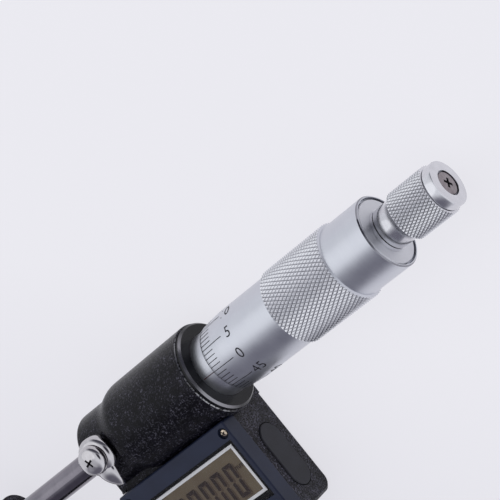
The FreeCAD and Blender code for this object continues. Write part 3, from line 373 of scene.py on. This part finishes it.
nodeFinish = {
    "frame": "hammertoneEnamel", "anvil": "groundSteel", "anvil_tip": "lappedCarbide",
    "spindle": "groundSteel", "spindle_tip": "lappedCarbide", "lock_shoe": "machinedBrass",
    "lock_stud": "turnedSteel", "lock_lever": "polishedChrome", "lock_screw": "polishedChrome",
    "encoder_stator": "solderMask", "encoder_rotor": "solderMask", "rotor_hub": "machinedBrass",
    "rotor_washer": "springSteel", "encoder_ribbon": "polyimideFilm",
    "collar_ring": "blackenedCollar", "thread_sleeve": "turnedSteel",
    "graduated_sleeve": "satinChrome", "adjusting_nut": "machinedBrass", "thimble": "satinChrome",
    "thimble_hub": "dullChrome", "click_wheel": "turnedSteel", "pawl_ring": "turnedSteel",
    "ratchet_spring": "springSteel", "ratchet_stem": "brightChrome", "ratchet_knob": "brightChrome",
    "ratchet_screw": "brownedSteel", "display_cover": "coverAbs", "display_mask": "blackAbs",
    "display_window": "clearAcrylic", "lcd_holder": "whiteAbs", "lcd_panel": "polariserFilm",
    "cover_screws": "giltPlating", "button_left": "mouldedRubber", "button_middle": "mouldedRubber",
    "button_right": "mouldedRubber", "circuit_board": "solderMask", "switch_domes": "blackAbs",
    "battery": "nickelPlating", "battery_contact": "giltPlating", "battery_gasket": "sealRubber",
    "battery_cap": "blackAbs", "data_connector": "blackAbs", "data_plug": "mouldedRubber",
}
for nodeName, finishName in nodeFinish.items():
    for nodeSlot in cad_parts[nodeName].material_slots:
        nodeSlot.material = finish[finishName]
print("node finishes set")


# Mesh helpers

def newPiece(name, points, faces, finishNames, faceFinish=None, smooth=True, sharpAngle=30):
    mesh = bpy.data.meshes.new(name)
    mesh.from_pydata(points, [], faces)
    mesh.validate()
    for finishName in finishNames:
        mesh.materials.append(finish[finishName])
    if faceFinish:
        mesh.polygons.foreach_set("material_index", faceFinish)
    if smooth:
        mesh.shade_smooth()
        mesh.set_sharp_from_angle(angle=math.radians(sharpAngle))
    mesh.update()
    piece = bpy.data.objects.new(name, mesh)
    bpy.context.scene.collection.objects.link(piece)
    return piece


def onAxis(x, radius, angle):
    # Point round the spindle's axis; the angle runs from +Z towards +Y
    return (x * mm, radius * math.sin(angle) * mm, radius * math.cos(angle) * mm)


def ringFaces(base, rings, count, closed=False):
    # Quads between neighbouring rings of points; a closed body's last ring joins its first
    faces = []
    for ring in range(rings if closed else rings - 1):
        low = base + ring * count
        high = base + (ring + 1) % rings * count
        for step in range(count):
            nextStep = (step + 1) % count
            faces.append((low + step, low + nextStep, high + nextStep, high + step))
    return faces


def turnKnurled(name, before, knurl, after, finishNames):
    # Closed turned body with a band of diamond knurl between two plain outlines; a row is (x, radius, finish)
    columns = 2 * knurl["count"]
    steps = max(2, round((knurl["end"] - knurl["start"]) / (knurl["pitch"] / 2)))
    rows = [(x, radius, kind) for x, radius, kind in before]
    for step in range(steps + 1):
        rows.append((knurl["start"] + (knurl["end"] - knurl["start"]) * step / steps, None, step))
    rows += [(x, radius, kind) for x, radius, kind in after]
    points = []
    for x, radius, step in rows:
        for column in range(columns):
            angle = 2 * math.pi * column / columns
            if radius is None:
                high = (step + column) % 2 == 1
                points.append(onAxis(x, knurl["crest"] if high else knurl["root"], angle))
            else:
                points.append(onAxis(x, radius, angle))
    faces = []
    kinds = []
    first = len(before)
    last = first + steps
    for row in range(len(rows)):
        nextRow = (row + 1) % len(rows)
        for column in range(columns):
            nextColumn = (column + 1) % columns
            a = row * columns + column
            b = row * columns + nextColumn
            c = nextRow * columns + nextColumn
            d = nextRow * columns + column
            if first <= row < last:
                # each square is folded along its groove, so the points stay sharp
                if (rows[row][2] + column) % 2 == 0:
                    faces += [(a, b, c), (a, c, d)]
                else:
                    faces += [(a, b, d), (b, c, d)]
                kinds += [1, 1]
            else:
                faces.append((a, b, c, d))
                kinds.append(rows[row][2] if rows[row][1] else 0)
    return newPiece(name, points, faces, finishNames, kinds, sharpAngle=24)


# Thimble

thimbleShell = {
    "start": 75.0, "end": 128.2, "bore": 8.16, "rearBore": 8.52, "rearBoreDepth": 1.2, "bodyRadius": 9.0,
    "bevelRadius": 8.5, "bevelLength": 5.7, "bevelParts": 6, "lip": 0.06, "plainBefore": 6.0,
    "plainAfter": 4.0,
    "gripStart": 97.2, "gripEnd": 116.5, "gripShoulder": 9.45, "gripChamfer": 0.26, "gripInset": 0.05,
    "crest": 9.72, "root": 9.38, "pitch": 1.743, "count": 60, "grooveWidth": 0.18, "grooveDepth": 0.14,
    "rearChamfer": 0.28,
}


def makeThimble(shell):
    body = shell["bodyRadius"]
    bevel = shell["bevelRadius"]
    start = shell["start"]
    lip = shell["lip"]
    gripIn = shell["gripStart"] + shell["gripChamfer"]
    gripOut = shell["gripEnd"] - shell["gripChamfer"]
    boreEnd = shell["end"] - shell["rearBoreDepth"]
    grooveX = shell["gripStart"] - shell["grooveWidth"]
    grooveRadius = body - shell["grooveDepth"]
    before = [
        (shell["end"], shell["rearBore"], 0), (boreEnd, shell["rearBore"], 0), (boreEnd, shell["bore"], 0),
        (start, shell["bore"], 0), (start, bevel - lip, 0), (start + lip / 2, bevel - lip / 4, 0),
        (start + lip, bevel, 0),
    ]
    for part in range(1, shell["bevelParts"]):
        share = part / shell["bevelParts"]
        before.append((start + shell["bevelLength"] * share, bevel + (body - bevel) * share, 0))
    before += [
        (start + shell["bevelLength"], body, 0), (shell["gripStart"] - shell["plainBefore"], body, 0),
        (grooveX, body, 0), (grooveX, grooveRadius, 0), (shell["gripStart"], grooveRadius, 0),
        (gripIn, shell["gripShoulder"], 0),
    ]
    knurl = {"start": gripIn + shell["gripInset"], "end": gripOut - shell["gripInset"],
             "crest": shell["crest"], "root": shell["root"], "pitch": shell["pitch"], "count": shell["count"]}
    # the last corner is a polished chamfer, so it mirrors the dark side of the room; its chrome is darkened
    # as painted shade
    after = [
        (gripOut, shell["gripShoulder"], 0), (shell["gripEnd"], body, 0),
        (shell["gripEnd"] + shell["plainAfter"], body, 0), (shell["end"] - shell["rearChamfer"], body, 2),
        (shell["end"], body - shell["rearChamfer"], 0),
    ]
    piece = turnKnurled("thimbleShell", before, knurl, after, ["satinChrome", "knurledChrome", "shadedEdgeChrome"])
    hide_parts("thimble")
    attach(piece, "spindle")


makeThimble(thimbleShell)
print("thimble turned")


# Ratchet knob

knobShell = {
    "start": 129.0, "end": 146.95, "cupRadius": 4.15, "cupEnd": 142.35, "stemBore": 2.15, "recessRadius": 3.1,
    "recessX": 145.35, "recessEdge": 0.05, "gripStart": 134.34, "gripEnd": 144.28, "crest": 6.07,
    "root": 5.77, "pitch": 1.67, "count": 45,
    # neck and flare up to the knurl, then the groove behind it and the plain ring: place and radius
    "neck": [(129.0, 4.93), (129.12, 5.05), (131.2, 5.07), (132.4, 5.15), (133.4, 5.35), (134.0, 5.55),
             (134.28, 5.83)],
    "ring": [(144.34, 5.81), (144.4, 5.67), (144.4, 5.2), (144.55, 5.2), (144.57, 5.45), (144.65, 5.5),
             (146.6, 5.5), (146.845, 5.395), (146.95, 5.15)],
}


def makeKnob(shell):
    before = [
        (shell["end"], shell["recessRadius"] + shell["recessEdge"], 0),
        (shell["end"] - shell["recessEdge"], shell["recessRadius"], 0),
        (shell["recessX"], shell["recessRadius"], 0), (shell["recessX"], shell["stemBore"], 0),
        (shell["cupEnd"], shell["stemBore"], 0), (shell["cupEnd"], shell["cupRadius"], 0),
        (shell["start"], shell["cupRadius"], 0),
    ]
    before += [(x, radius, 0) for x, radius in shell["neck"]]
    knurl = {"start": shell["gripStart"], "end": shell["gripEnd"], "crest": shell["crest"],
             "root": shell["root"], "pitch": shell["pitch"], "count": shell["count"]}
    after = [(x, radius, 0) for x, radius in shell["ring"]]
    piece = turnKnurled("knobShell", before, knurl, after, ["brightChrome", "knurledRatchet"])
    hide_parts("ratchet_knob")
    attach(piece, "ratchet_knob")


makeKnob(knobShell)
print("ratchet knob turned")


# Cross-headed screws

screwHeads = {
    # the outline runs from the middle out, as share of the head's radius and drop from its top
    "lockScrewHead": {
        "node": "lock_screw", "body": "lock_lever", "slot": "bright_chrome", "finish": "polishedChrome",
        "axis": "z", "radius": 3.75, "reach": 1.2, "half": 0.27, "depth": 0.8, "turn": 18,
        "outline": [(0.52, 0.12), (0.68, 0.26), (0.80, 0.46), (0.90, 0.76), (0.97, 1.25), (1.0, 1.8),
                    (0.99, 2.2)],
        "shank": 0.95, "places": [(34.75, 0.6, 14.6)], "length": 6.0},
    "ratchetScrewHead": {
        "node": "ratchet_screw", "body": "spindle", "slot": "black_steel", "finish": "brownedSteel",
        "axis": "x", "radius": 2.8, "reach": 1.3, "half": 0.34, "depth": 0.8, "turn": 45,
        "outline": [(0.60, 0.02), (0.88, 0.05), (0.97, 0.10), (1.0, 0.22), (1.0, 1.2)],
        "shank": 1.0, "places": [(146.85, 0.0, 0.0)], "length": 4.5},
    "coverScrewHeads": {
        "node": "cover_screws", "body": "frame", "slot": "gilt", "finish": "giltPlating", "axis": "z",
        "radius": 1.0, "reach": 0.52, "half": 0.15, "depth": 0.35, "turn": 30,
        "outline": [(0.62, 0.06), (0.82, 0.15), (0.94, 0.27), (1.0, 0.42), (1.0, 0.66)],
        "shank": 0.6, "length": 7.8,
        "places": [(29.8, -13.1, 6.55), (64.8, -13.1, 6.55), (29.8, -37.4, 6.55), (64.8, -37.4, 6.55)]},
}
# the cross's floor as a share of its mouth, and the angles between its arms where the outline has points
recessTaper = 0.45
recessAngles = (0.32, 0.55)


def crossRadius(angle, reach, half):
    # Distance from the middle of a cross to its outline
    side = (angle + math.pi / 4) % (math.pi / 2) - math.pi / 4
    if abs(math.tan(side)) <= half / reach:
        return reach / math.cos(side)
    return half / abs(math.sin(side))


def makeScrews(name, screw):
    corner = math.atan2(screw["half"], screw["reach"])
    angles = []
    for quarter in range(4):
        start = quarter * math.pi / 2
        near, far = recessAngles
        angles += [start + a for a in (-math.pi / 4, -far, -near, -corner, 0, corner, near, far)]
    rings = [(recessTaper, None, screw["depth"]), (1.0, None, 0.0)]
    rings += [(1.0, share, drop) for share, drop in screw["outline"]]
    rings += [(1.0, screw["shank"] / screw["radius"], screw["outline"][-1][1]),
              (1.0, screw["shank"] / screw["radius"], screw["length"])]
    points = []
    faces = []
    kinds = []
    for x, y, z in screw["places"]:
        base = len(points)
        for scale, share, drop in rings:
            for angle in angles:
                cross = crossRadius(angle, screw["reach"], screw["half"])
                radius = cross * scale if share is None else screw["radius"] * share
                if share is None and drop == 0.0:
                    # the recess's lip lies on the head's domed top
                    drop = screw["outline"][0][1] * (radius / (screw["radius"] * screw["outline"][0][0])) ** 2
                u = radius * math.cos(angle + math.radians(screw["turn"]))
                v = radius * math.sin(angle + math.radians(screw["turn"]))
                spot = (x + u, y + v, z - drop) if screw["axis"] == "z" else (x - drop, y + u, z + v)
                points.append(tuple(value * mm for value in spot))
        count = len(angles)
        # the cross recess's walls and floor take the dark engraving fill: painted shade
        kinds += [1] * count + [0] * count * (len(rings) - 2) + [1, 0]
        faces += ringFaces(base, len(rings), count)
        faces.append(tuple(base + k for k in reversed(range(count))))
        end = base + (len(rings) - 1) * count
        faces.append(tuple(end + k for k in range(count)))
    piece = newPiece(name, points, faces, [screw["finish"], "engravingFillAndRecessShade"], kinds, sharpAngle=35)
    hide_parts(screw["node"])
    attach(piece, screw["body"])


for screwName, screwSet in screwHeads.items():
    makeScrews(screwName, screwSet)
print("screw heads cut")


# Lock lever

leverShell = {
    "x": 34.75, "y": 0.6, "low": 9.1, "top": 12.1, "bore": 1.2, "hubRadius": 5.0, "hubEdge": 0.1,
    "dome": 1.65, "domeParts": 6, "turns": 72, "around": 32,
    # the horn from the hub outwards: distance from the axis, half width, top and underside
    "horn": [(2.4, 2.9, 12.1, 9.4), (4.4, 2.72, 12.25, 9.7), (5.4, 2.5, 12.1, 9.65), (6.4, 2.12, 11.75, 9.6),
             (7.1, 1.78, 11.35, 9.5), (7.7, 1.45, 10.95, 9.3), (8.2, 1.1, 10.55, 9.2),
             (8.6, 0.78, 10.15, 9.05), (8.9, 0.5, 9.8, 8.95), (9.1, 0.22, 9.5, 8.95)],
}


def makeLever(shell):
    # Domed hub turned round the lock's axis, with a rounded horn running out of it and bending back
    rows = [(shell["bore"], shell["low"]), (shell["hubRadius"] - shell["hubEdge"], shell["low"]),
            (shell["hubRadius"], shell["low"] + shell["hubEdge"])]
    for part in range(shell["domeParts"] + 1):
        angle = math.pi / 2 * part / shell["domeParts"]
        rows.append((shell["hubRadius"] - shell["dome"] * (1 - math.cos(angle)),
                     shell["top"] - shell["dome"] * (1 - math.sin(angle))))
    rows.append((shell["bore"], shell["top"]))
    points = []
    turns = shell["turns"]
    for radius, z in rows:
        for turn in range(turns):
            angle = 2 * math.pi * turn / turns
            x = shell["x"] + radius * math.cos(angle)
            y = shell["y"] + radius * math.sin(angle)
            points.append((x * mm, y * mm, z * mm))
    faces = ringFaces(0, len(rows), turns, closed=True)
    around = shell["around"]
    base = len(points)
    for reach, half, top, low in shell["horn"]:
        for step in range(around):
            angle = 2 * math.pi * step / around
            x = shell["x"] + half * math.cos(angle)
            z = (top + low) / 2 + (top - low) / 2 * math.sin(angle)
            points.append((x * mm, (shell["y"] - reach) * mm, z * mm))
    faces += ringFaces(base, len(shell["horn"]), around)
    end = base + (len(shell["horn"]) - 1) * around
    faces.append(tuple(base + step for step in reversed(range(around))))
    faces.append(tuple(end + step for step in range(around)))
    piece = newPiece("lockLeverShell", points, faces, ["polishedChrome"], sharpAngle=40)
    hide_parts("lock_lever")
    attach(piece, "lock_lever")


makeLever(leverShell)
print("lock lever formed")


# Graduations and numerals

scaleMarks = {
    "zeroAngle": -5.0, "lift": 0.03, "lineWidth": 0.17, "shortEnd": 78.5, "longEnd": 82.2, "start": 75.2,
    "numeralX": 84.4, "numeralHeight": 2.62, "numeralWidth": 0.92, "divisions": 50, "longEvery": 5,
    "thinning": -0.004, "parts": 6, "partAngle": 0.05,
    "sleeveRadius": 8.1, "sleeveStart": 71.3, "sleeveEnd": 100.6, "sleeveLine": 0.16, "indexLine": 0.2,
    "range": 25, "wholeMark": 1.3, "fiveMark": 1.9, "halfMark": 1.2, "sleeveNumeral": 1.7,
    "sleeveNumeralRise": 3.1,
}


def thimbleRadius(x):
    share = min(1.0, max(0.0, (x - thimbleShell["start"]) / thimbleShell["bevelLength"]))
    return thimbleShell["bevelRadius"] + (thimbleShell["bodyRadius"] - thimbleShell["bevelRadius"]) * share


def surfaceStrips(name, strips, radiusAt, marks, body, finishName):
    # Filled lines on a turned surface; each strip is (start x, end x, low angle, high angle)
    points = []
    faces = []
    for startX, endX, angleLow, angleHigh in strips:
        xs = [startX + (endX - startX) * part / marks["parts"] for part in range(marks["parts"] + 1)]
        turns = max(1, int(abs(angleHigh - angleLow) / marks["partAngle"]))
        base = len(points)
        for x in xs:
            for turn in range(turns + 1):
                angle = angleLow + (angleHigh - angleLow) * turn / turns
                points.append(onAxis(x, radiusAt(x) + marks["lift"], angle))
        for row in range(len(xs) - 1):
            for turn in range(turns):
                a = base + row * (turns + 1) + turn
                faces.append((a, a + 1, a + turns + 2, a + turns + 1))
    piece = newPiece(name, points, faces, [finishName], smooth=False)
    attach(piece, body)


lettering = {"spacing": 1.06, "curveParts": 6}


def letterOutline(text, height, width, thinning):
    # Flat letters about their middle, with the given height in millimetres
    curve = bpy.data.curves.new("lettering", "FONT")
    curve.body = text
    curve.size = 1.0
    curve.space_character = lettering["spacing"]
    curve.offset = thinning
    curve.resolution_u = lettering["curveParts"]
    carrier = bpy.data.objects.new("lettering", curve)
    bpy.context.scene.collection.objects.link(carrier)
    bpy.context.view_layer.update()
    flat = bpy.data.meshes.new_from_object(carrier.evaluated_get(bpy.context.evaluated_depsgraph_get()))
    xs = [v.co.x for v in flat.vertices]
    ys = [v.co.y for v in flat.vertices]
    scale = height / (max(ys) - min(ys))
    midX = (max(xs) + min(xs)) / 2
    midY = (max(ys) + min(ys)) / 2
    outline = [((v.co.x - midX) * scale * width, (v.co.y - midY) * scale) for v in flat.vertices]
    faces = [list(polygon.vertices) for polygon in flat.polygons]
    bpy.data.objects.remove(carrier)
    bpy.data.meshes.remove(flat)
    bpy.data.curves.remove(curve)
    return outline, faces


def wrapNumerals(name, labels, height, radiusAt, marks, body):
    # Numerals bent round the axis, upright when the axis is level
    points = []
    faces = []
    for text, centreX, centreAngle in labels:
        outline, polygons = letterOutline(text, height, marks["numeralWidth"], marks["thinning"])
        base = len(points)
        for u, v in outline:
            x = centreX + u
            points.append(onAxis(x, radiusAt(x) + marks["lift"], centreAngle + v / radiusAt(x)))
        for polygon in polygons:
            faces.append([base + index for index in polygon])
    piece = newPiece(name, points, faces, ["engravingFillAndRecessShade"], smooth=False)
    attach(piece, body)


def makeScales(marks):
    zero = math.radians(marks["zeroAngle"])
    half = marks["lineWidth"] / 2 / thimbleShell["bevelRadius"]
    ticks = []
    for division in range(marks["divisions"]):
        angle = zero + 2 * math.pi * division / marks["divisions"]
        endX = marks["longEnd"] if division % marks["longEvery"] == 0 else marks["shortEnd"]
        ticks.append((marks["start"], endX, angle - half, angle + half))
    surfaceStrips("thimbleTicks", ticks, thimbleRadius, marks, "spindle", "engravingFillAndRecessShade")
    labels = [(str(value), marks["numeralX"], zero + 2 * math.pi * value / marks["divisions"])
              for value in range(0, marks["divisions"], marks["longEvery"])]
    wrapNumerals("thimbleNumerals", labels, marks["numeralHeight"], thimbleRadius, marks, "spindle")

    sleeveRadius = marks["sleeveRadius"]

    def sleeve(x):
        return sleeveRadius

    index = marks["indexLine"] / 2 / sleeveRadius
    indexStrip = (marks["sleeveStart"], marks["sleeveEnd"], zero - index, zero + index)
    surfaceStrips("indexLine", [indexStrip], sleeve, marks, "frame", "indexFill")
    halfLine = marks["sleeveLine"] / 2
    strips = []
    for halfCount in range(2 * marks["range"] + 1):
        # millimetres above the index line, half millimetres below it
        x = thimbleShell["start"] + halfCount / 2
        if halfCount % 2:
            strips.append((x - halfLine, x + halfLine, zero - marks["halfMark"] / sleeveRadius, zero))
        else:
            reach = marks["fiveMark"] if halfCount % 10 == 0 else marks["wholeMark"]
            strips.append((x - halfLine, x + halfLine, zero, zero + reach / sleeveRadius))
    surfaceStrips("sleeveLines", strips, sleeve, marks, "frame", "engravingFillAndRecessShade")
    rise = zero + marks["sleeveNumeralRise"] / sleeveRadius
    sleeveLabels = [(str(value), thimbleShell["start"] + value, rise)
                    for value in range(5, marks["range"] + 1, 5)]
    wrapNumerals("sleeveNumerals", sleeveLabels, marks["sleeveNumeral"], sleeve, marks, "frame")


makeScales(scaleMarks)
print("scales marked")


# Display digits

lcdSegments = {
    "right": 59.5, "baseY": -27.85, "height": 8.5, "width": 3.05, "pitch": 4.38, "bar": 0.92, "gap": 0.06,
    "middleGap": 0.42, "slant": 0.05, "lift": 0.06, "shadowLift": 0.03, "shadowX": 0.45, "shadowY": -0.5,
    "pointBack": 1.05, "text": "00.000", "unit": "mm", "unitX": 61.5, "unitY": -21.4, "unitHeight": 0.95,
    "unitWidth": 0.9,
}
segmentsOf = {"0": "abcdef", "1": "bc", "2": "abged", "3": "abgcd", "4": "fgbc", "5": "afgcd",
              "6": "afgedc", "7": "abc", "8": "abcdefg", "9": "abcdfg"}


def makeDigits(name, lcd, lift, moveX, moveY, finishName):
    # Seven-segment digits from right to left, and the small unit mark; the move shifts a shadow
    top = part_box("lcd_panel")[1][2] / mm + lift
    points = []
    faces = []

    def lay(shape, leftX, lowY):
        base = len(points)
        for u, v in shape:
            points.append(((leftX + moveX + u + v * lcd["slant"]) * mm, (lowY + moveY + v) * mm, top * mm))
        faces.append(tuple(range(base, base + len(shape))))

    w = lcd["width"]
    h = lcd["height"]
    t = lcd["bar"]
    g = lcd["gap"]
    m = lcd["middleGap"]
    middle = h / 2
    shapes = {
        "a": [(g, h), (g + t, h - t), (w - g - t, h - t), (w - g, h)],
        "d": [(g, 0), (w - g, 0), (w - g - t, t), (g + t, t)],
        "f": [(0, h - g), (0, middle + m), (t / 2, middle + m - t / 3), (t, middle + m), (t, h - g - t)],
        "e": [(0, g), (t, g + t), (t, middle - m), (t / 2, middle - m + t / 3), (0, middle - m)],
        "b": [(w, h - g), (w - t, h - g - t), (w - t, middle + m), (w - t / 2, middle + m - t / 3),
              (w, middle + m)],
        "c": [(w, g), (w, middle - m), (w - t / 2, middle - m + t / 3), (w - t, middle - m), (w - t, g + t)],
        "g": [(g + t / 2, middle), (g + t, middle - t / 2), (w - g - t, middle - t / 2),
              (w - g - t / 2, middle), (w - g - t, middle + t / 2), (g + t, middle + t / 2)],
    }
    cursor = lcd["right"] - w
    for letter in reversed(lcd["text"]):
        if letter == ".":
            lay([(0, 0), (t, 0), (t, t), (0, t)], cursor + lcd["pitch"] - lcd["pointBack"], lcd["baseY"])
            continue
        for key in segmentsOf[letter]:
            lay(shapes[key], cursor, lcd["baseY"])
        cursor -= lcd["pitch"]
    outline, polygons = letterOutline(lcd["unit"], lcd["unitHeight"], lcd["unitWidth"], 0.0)
    base = len(points)
    for u, v in outline:
        points.append(((lcd["unitX"] + moveX / 3 + u) * mm, (lcd["unitY"] + moveY / 3 + v) * mm, top * mm))
    for polygon in polygons:
        faces.append([base + index for index in polygon])
    piece = newPiece(name, points, faces, [finishName], smooth=False)
    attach(piece, "frame")


makeDigits("displayDigits", lcdSegments, lcdSegments["lift"], 0.0, 0.0, "crystalInk")
makeDigits("displayShadows", lcdSegments, lcdSegments["shadowLift"], lcdSegments["shadowX"],
           lcdSegments["shadowY"], "crystalShadow")
print("display digits laid")


# Floor, light and camera

studio = {
    "floorZ": -12.0, "floorGap": 0.02, "floorSize": 4.0, "paper": "#F1F1F5", "paperDark": "#ECEDF1",
    "shown": "#F5F4FA", "shownDark": "#D6D5DE", "fadeStart": -0.16, "fadeEnd": 0.06, "shownShare": 0.78,
    "world": "#E4E6EC", "worldStrength": 1.12,
    # each patch of the light tent: direction, cosine where it starts, cosine where it is full, colour
    "patches": [((-0.40, 0.50, 0.76), 0.60, 0.97, "#DCDEE3"), ((-0.55, -0.66, 0.51), 0.66, 0.97, "#6C6B77"),
                ((0.62, 0.78, 0.10), 0.55, 0.90, "#54555F"), ((0.66, 0.0, 0.75), 0.90, 0.975, "#3C3C45")],
    "keyPower": 0.5, "keySize": 0.9, "keyAim": (0.08, 0, 0), "keyDirection": (-0.40, 0.42, 0.81),
    "keyDistance": 0.9,
}


def makeStudio(setup):
    size = setup["floorSize"]
    z = (setup["floorZ"] - setup["floorGap"]) * mm
    mesh = bpy.data.meshes.new("floor")
    corners = [(-size, -size, z), (size, -size, z), (size, size, z), (-size, size, z)]
    mesh.from_pydata(corners, [], [(0, 1, 2, 3)])
    # White paper sweep: what the camera and the gloss of the metal see of it is bright, and darker towards −X
    # and −Y as painted shade
    material, tree, shader, place = startMaterial("paperSweep", {"Roughness": 0.9, "IOR": 1.4})
    cloud = addNode(tree, "ShaderNodeTexNoise", {"Vector": place, "Scale": 3.0, "Detail": 2.0})
    colour = addRamp(tree, cloud.outputs["Fac"], wideSpan,
                     (hexColour(setup["paperDark"]), hexColour(setup["paper"])))
    tree.links.new(colour, shader.inputs["Base Color"])
    # the seen colour darkens from shown to shownDark towards −X and −Y: painted shade
    along = addNode(tree, "ShaderNodeVectorMath", {0: place, 1: (math.sqrt(0.5), math.sqrt(0.5), 0)},
                    operation="DOT_PRODUCT")
    fade = addRange(tree, along.outputs["Value"], setup["fadeStart"], setup["fadeEnd"])
    tone = addRamp(tree, fade, (0.0, 1.0), (hexColour(setup["shownDark"]), hexColour(setup["shown"])))
    path = addNode(tree, "ShaderNodeLightPath").outputs
    seen = addMath(tree, "ADD", path["Is Camera Ray"], path["Is Glossy Ray"])
    through = addMath(tree, "ADD", seen, path["Is Transmission Ray"], use_clamp=True)
    coverShader(tree, shader, addMath(tree, "MULTIPLY", through, setup["shownShare"]),
                addNode(tree, "ShaderNodeEmission", {"Color": tone}))
    mesh.materials.append(material)
    floor = bpy.data.objects.new("floor", mesh)
    bpy.context.scene.collection.objects.link(floor)

    world = bpy.data.worlds.new("lightTent")
    bpy.context.scene.world = world
    world.use_nodes = True
    tree = world.node_tree
    back = tree.nodes["Background"]
    back.inputs["Strength"].default_value = setup["worldStrength"]
    way = addNode(tree, "ShaderNodeTexCoord").outputs["Generated"]
    unit = addNode(tree, "ShaderNodeVectorMath", {0: way}, operation="NORMALIZE")
    sky = hexColour(setup["world"])
    for direction, start, full, patchColour in setup["patches"]:
        # each patch lies over the ones before it
        dot = addNode(tree, "ShaderNodeVectorMath",
                      {0: unit.outputs[0], 1: tuple(Vector(direction).normalized())}, operation="DOT_PRODUCT")
        reach = addRange(tree, dot.outputs["Value"], start, full, interpolation_type="SMOOTHSTEP")
        sky = addMix(tree, reach, sky, hexColour(patchColour))
    tree.links.new(sky, back.inputs["Color"])

    lamp = bpy.data.lights.new("softBox", "AREA")
    lamp.shape = "DISK"
    lamp.size = setup["keySize"]
    lamp.energy = setup["keyPower"]
    key = bpy.data.objects.new("softBox", lamp)
    direction = Vector(setup["keyDirection"]).normalized()
    key.location = Vector(setup["keyAim"]) + direction * setup["keyDistance"]
    key.rotation_euler = (-direction).to_track_quat("-Z", "Y").to_euler()
    bpy.context.scene.collection.objects.link(key)


makeStudio(studio)

cameraSet = {"location": (0.34320, 0.00886, 0.36967), "rotation": (-22.0955, 25.9733, -44.3632),
             "lens": 144.0, "sensor": 36.0, "clipStart": 0.01}
cameraData = bpy.data.cameras.new("camera")
cameraData.lens = cameraSet["lens"]
cameraData.sensor_width = cameraSet["sensor"]
cameraData.clip_start = cameraSet["clipStart"]
camera = bpy.data.objects.new("camera", cameraData)
camera.location = cameraSet["location"]
camera.rotation_euler = [math.radians(angle) for angle in cameraSet["rotation"]]
bpy.context.scene.collection.objects.link(camera)
bpy.context.scene.camera = camera
bpy.context.scene.view_settings.view_transform = "Standard"
print("studio ready")
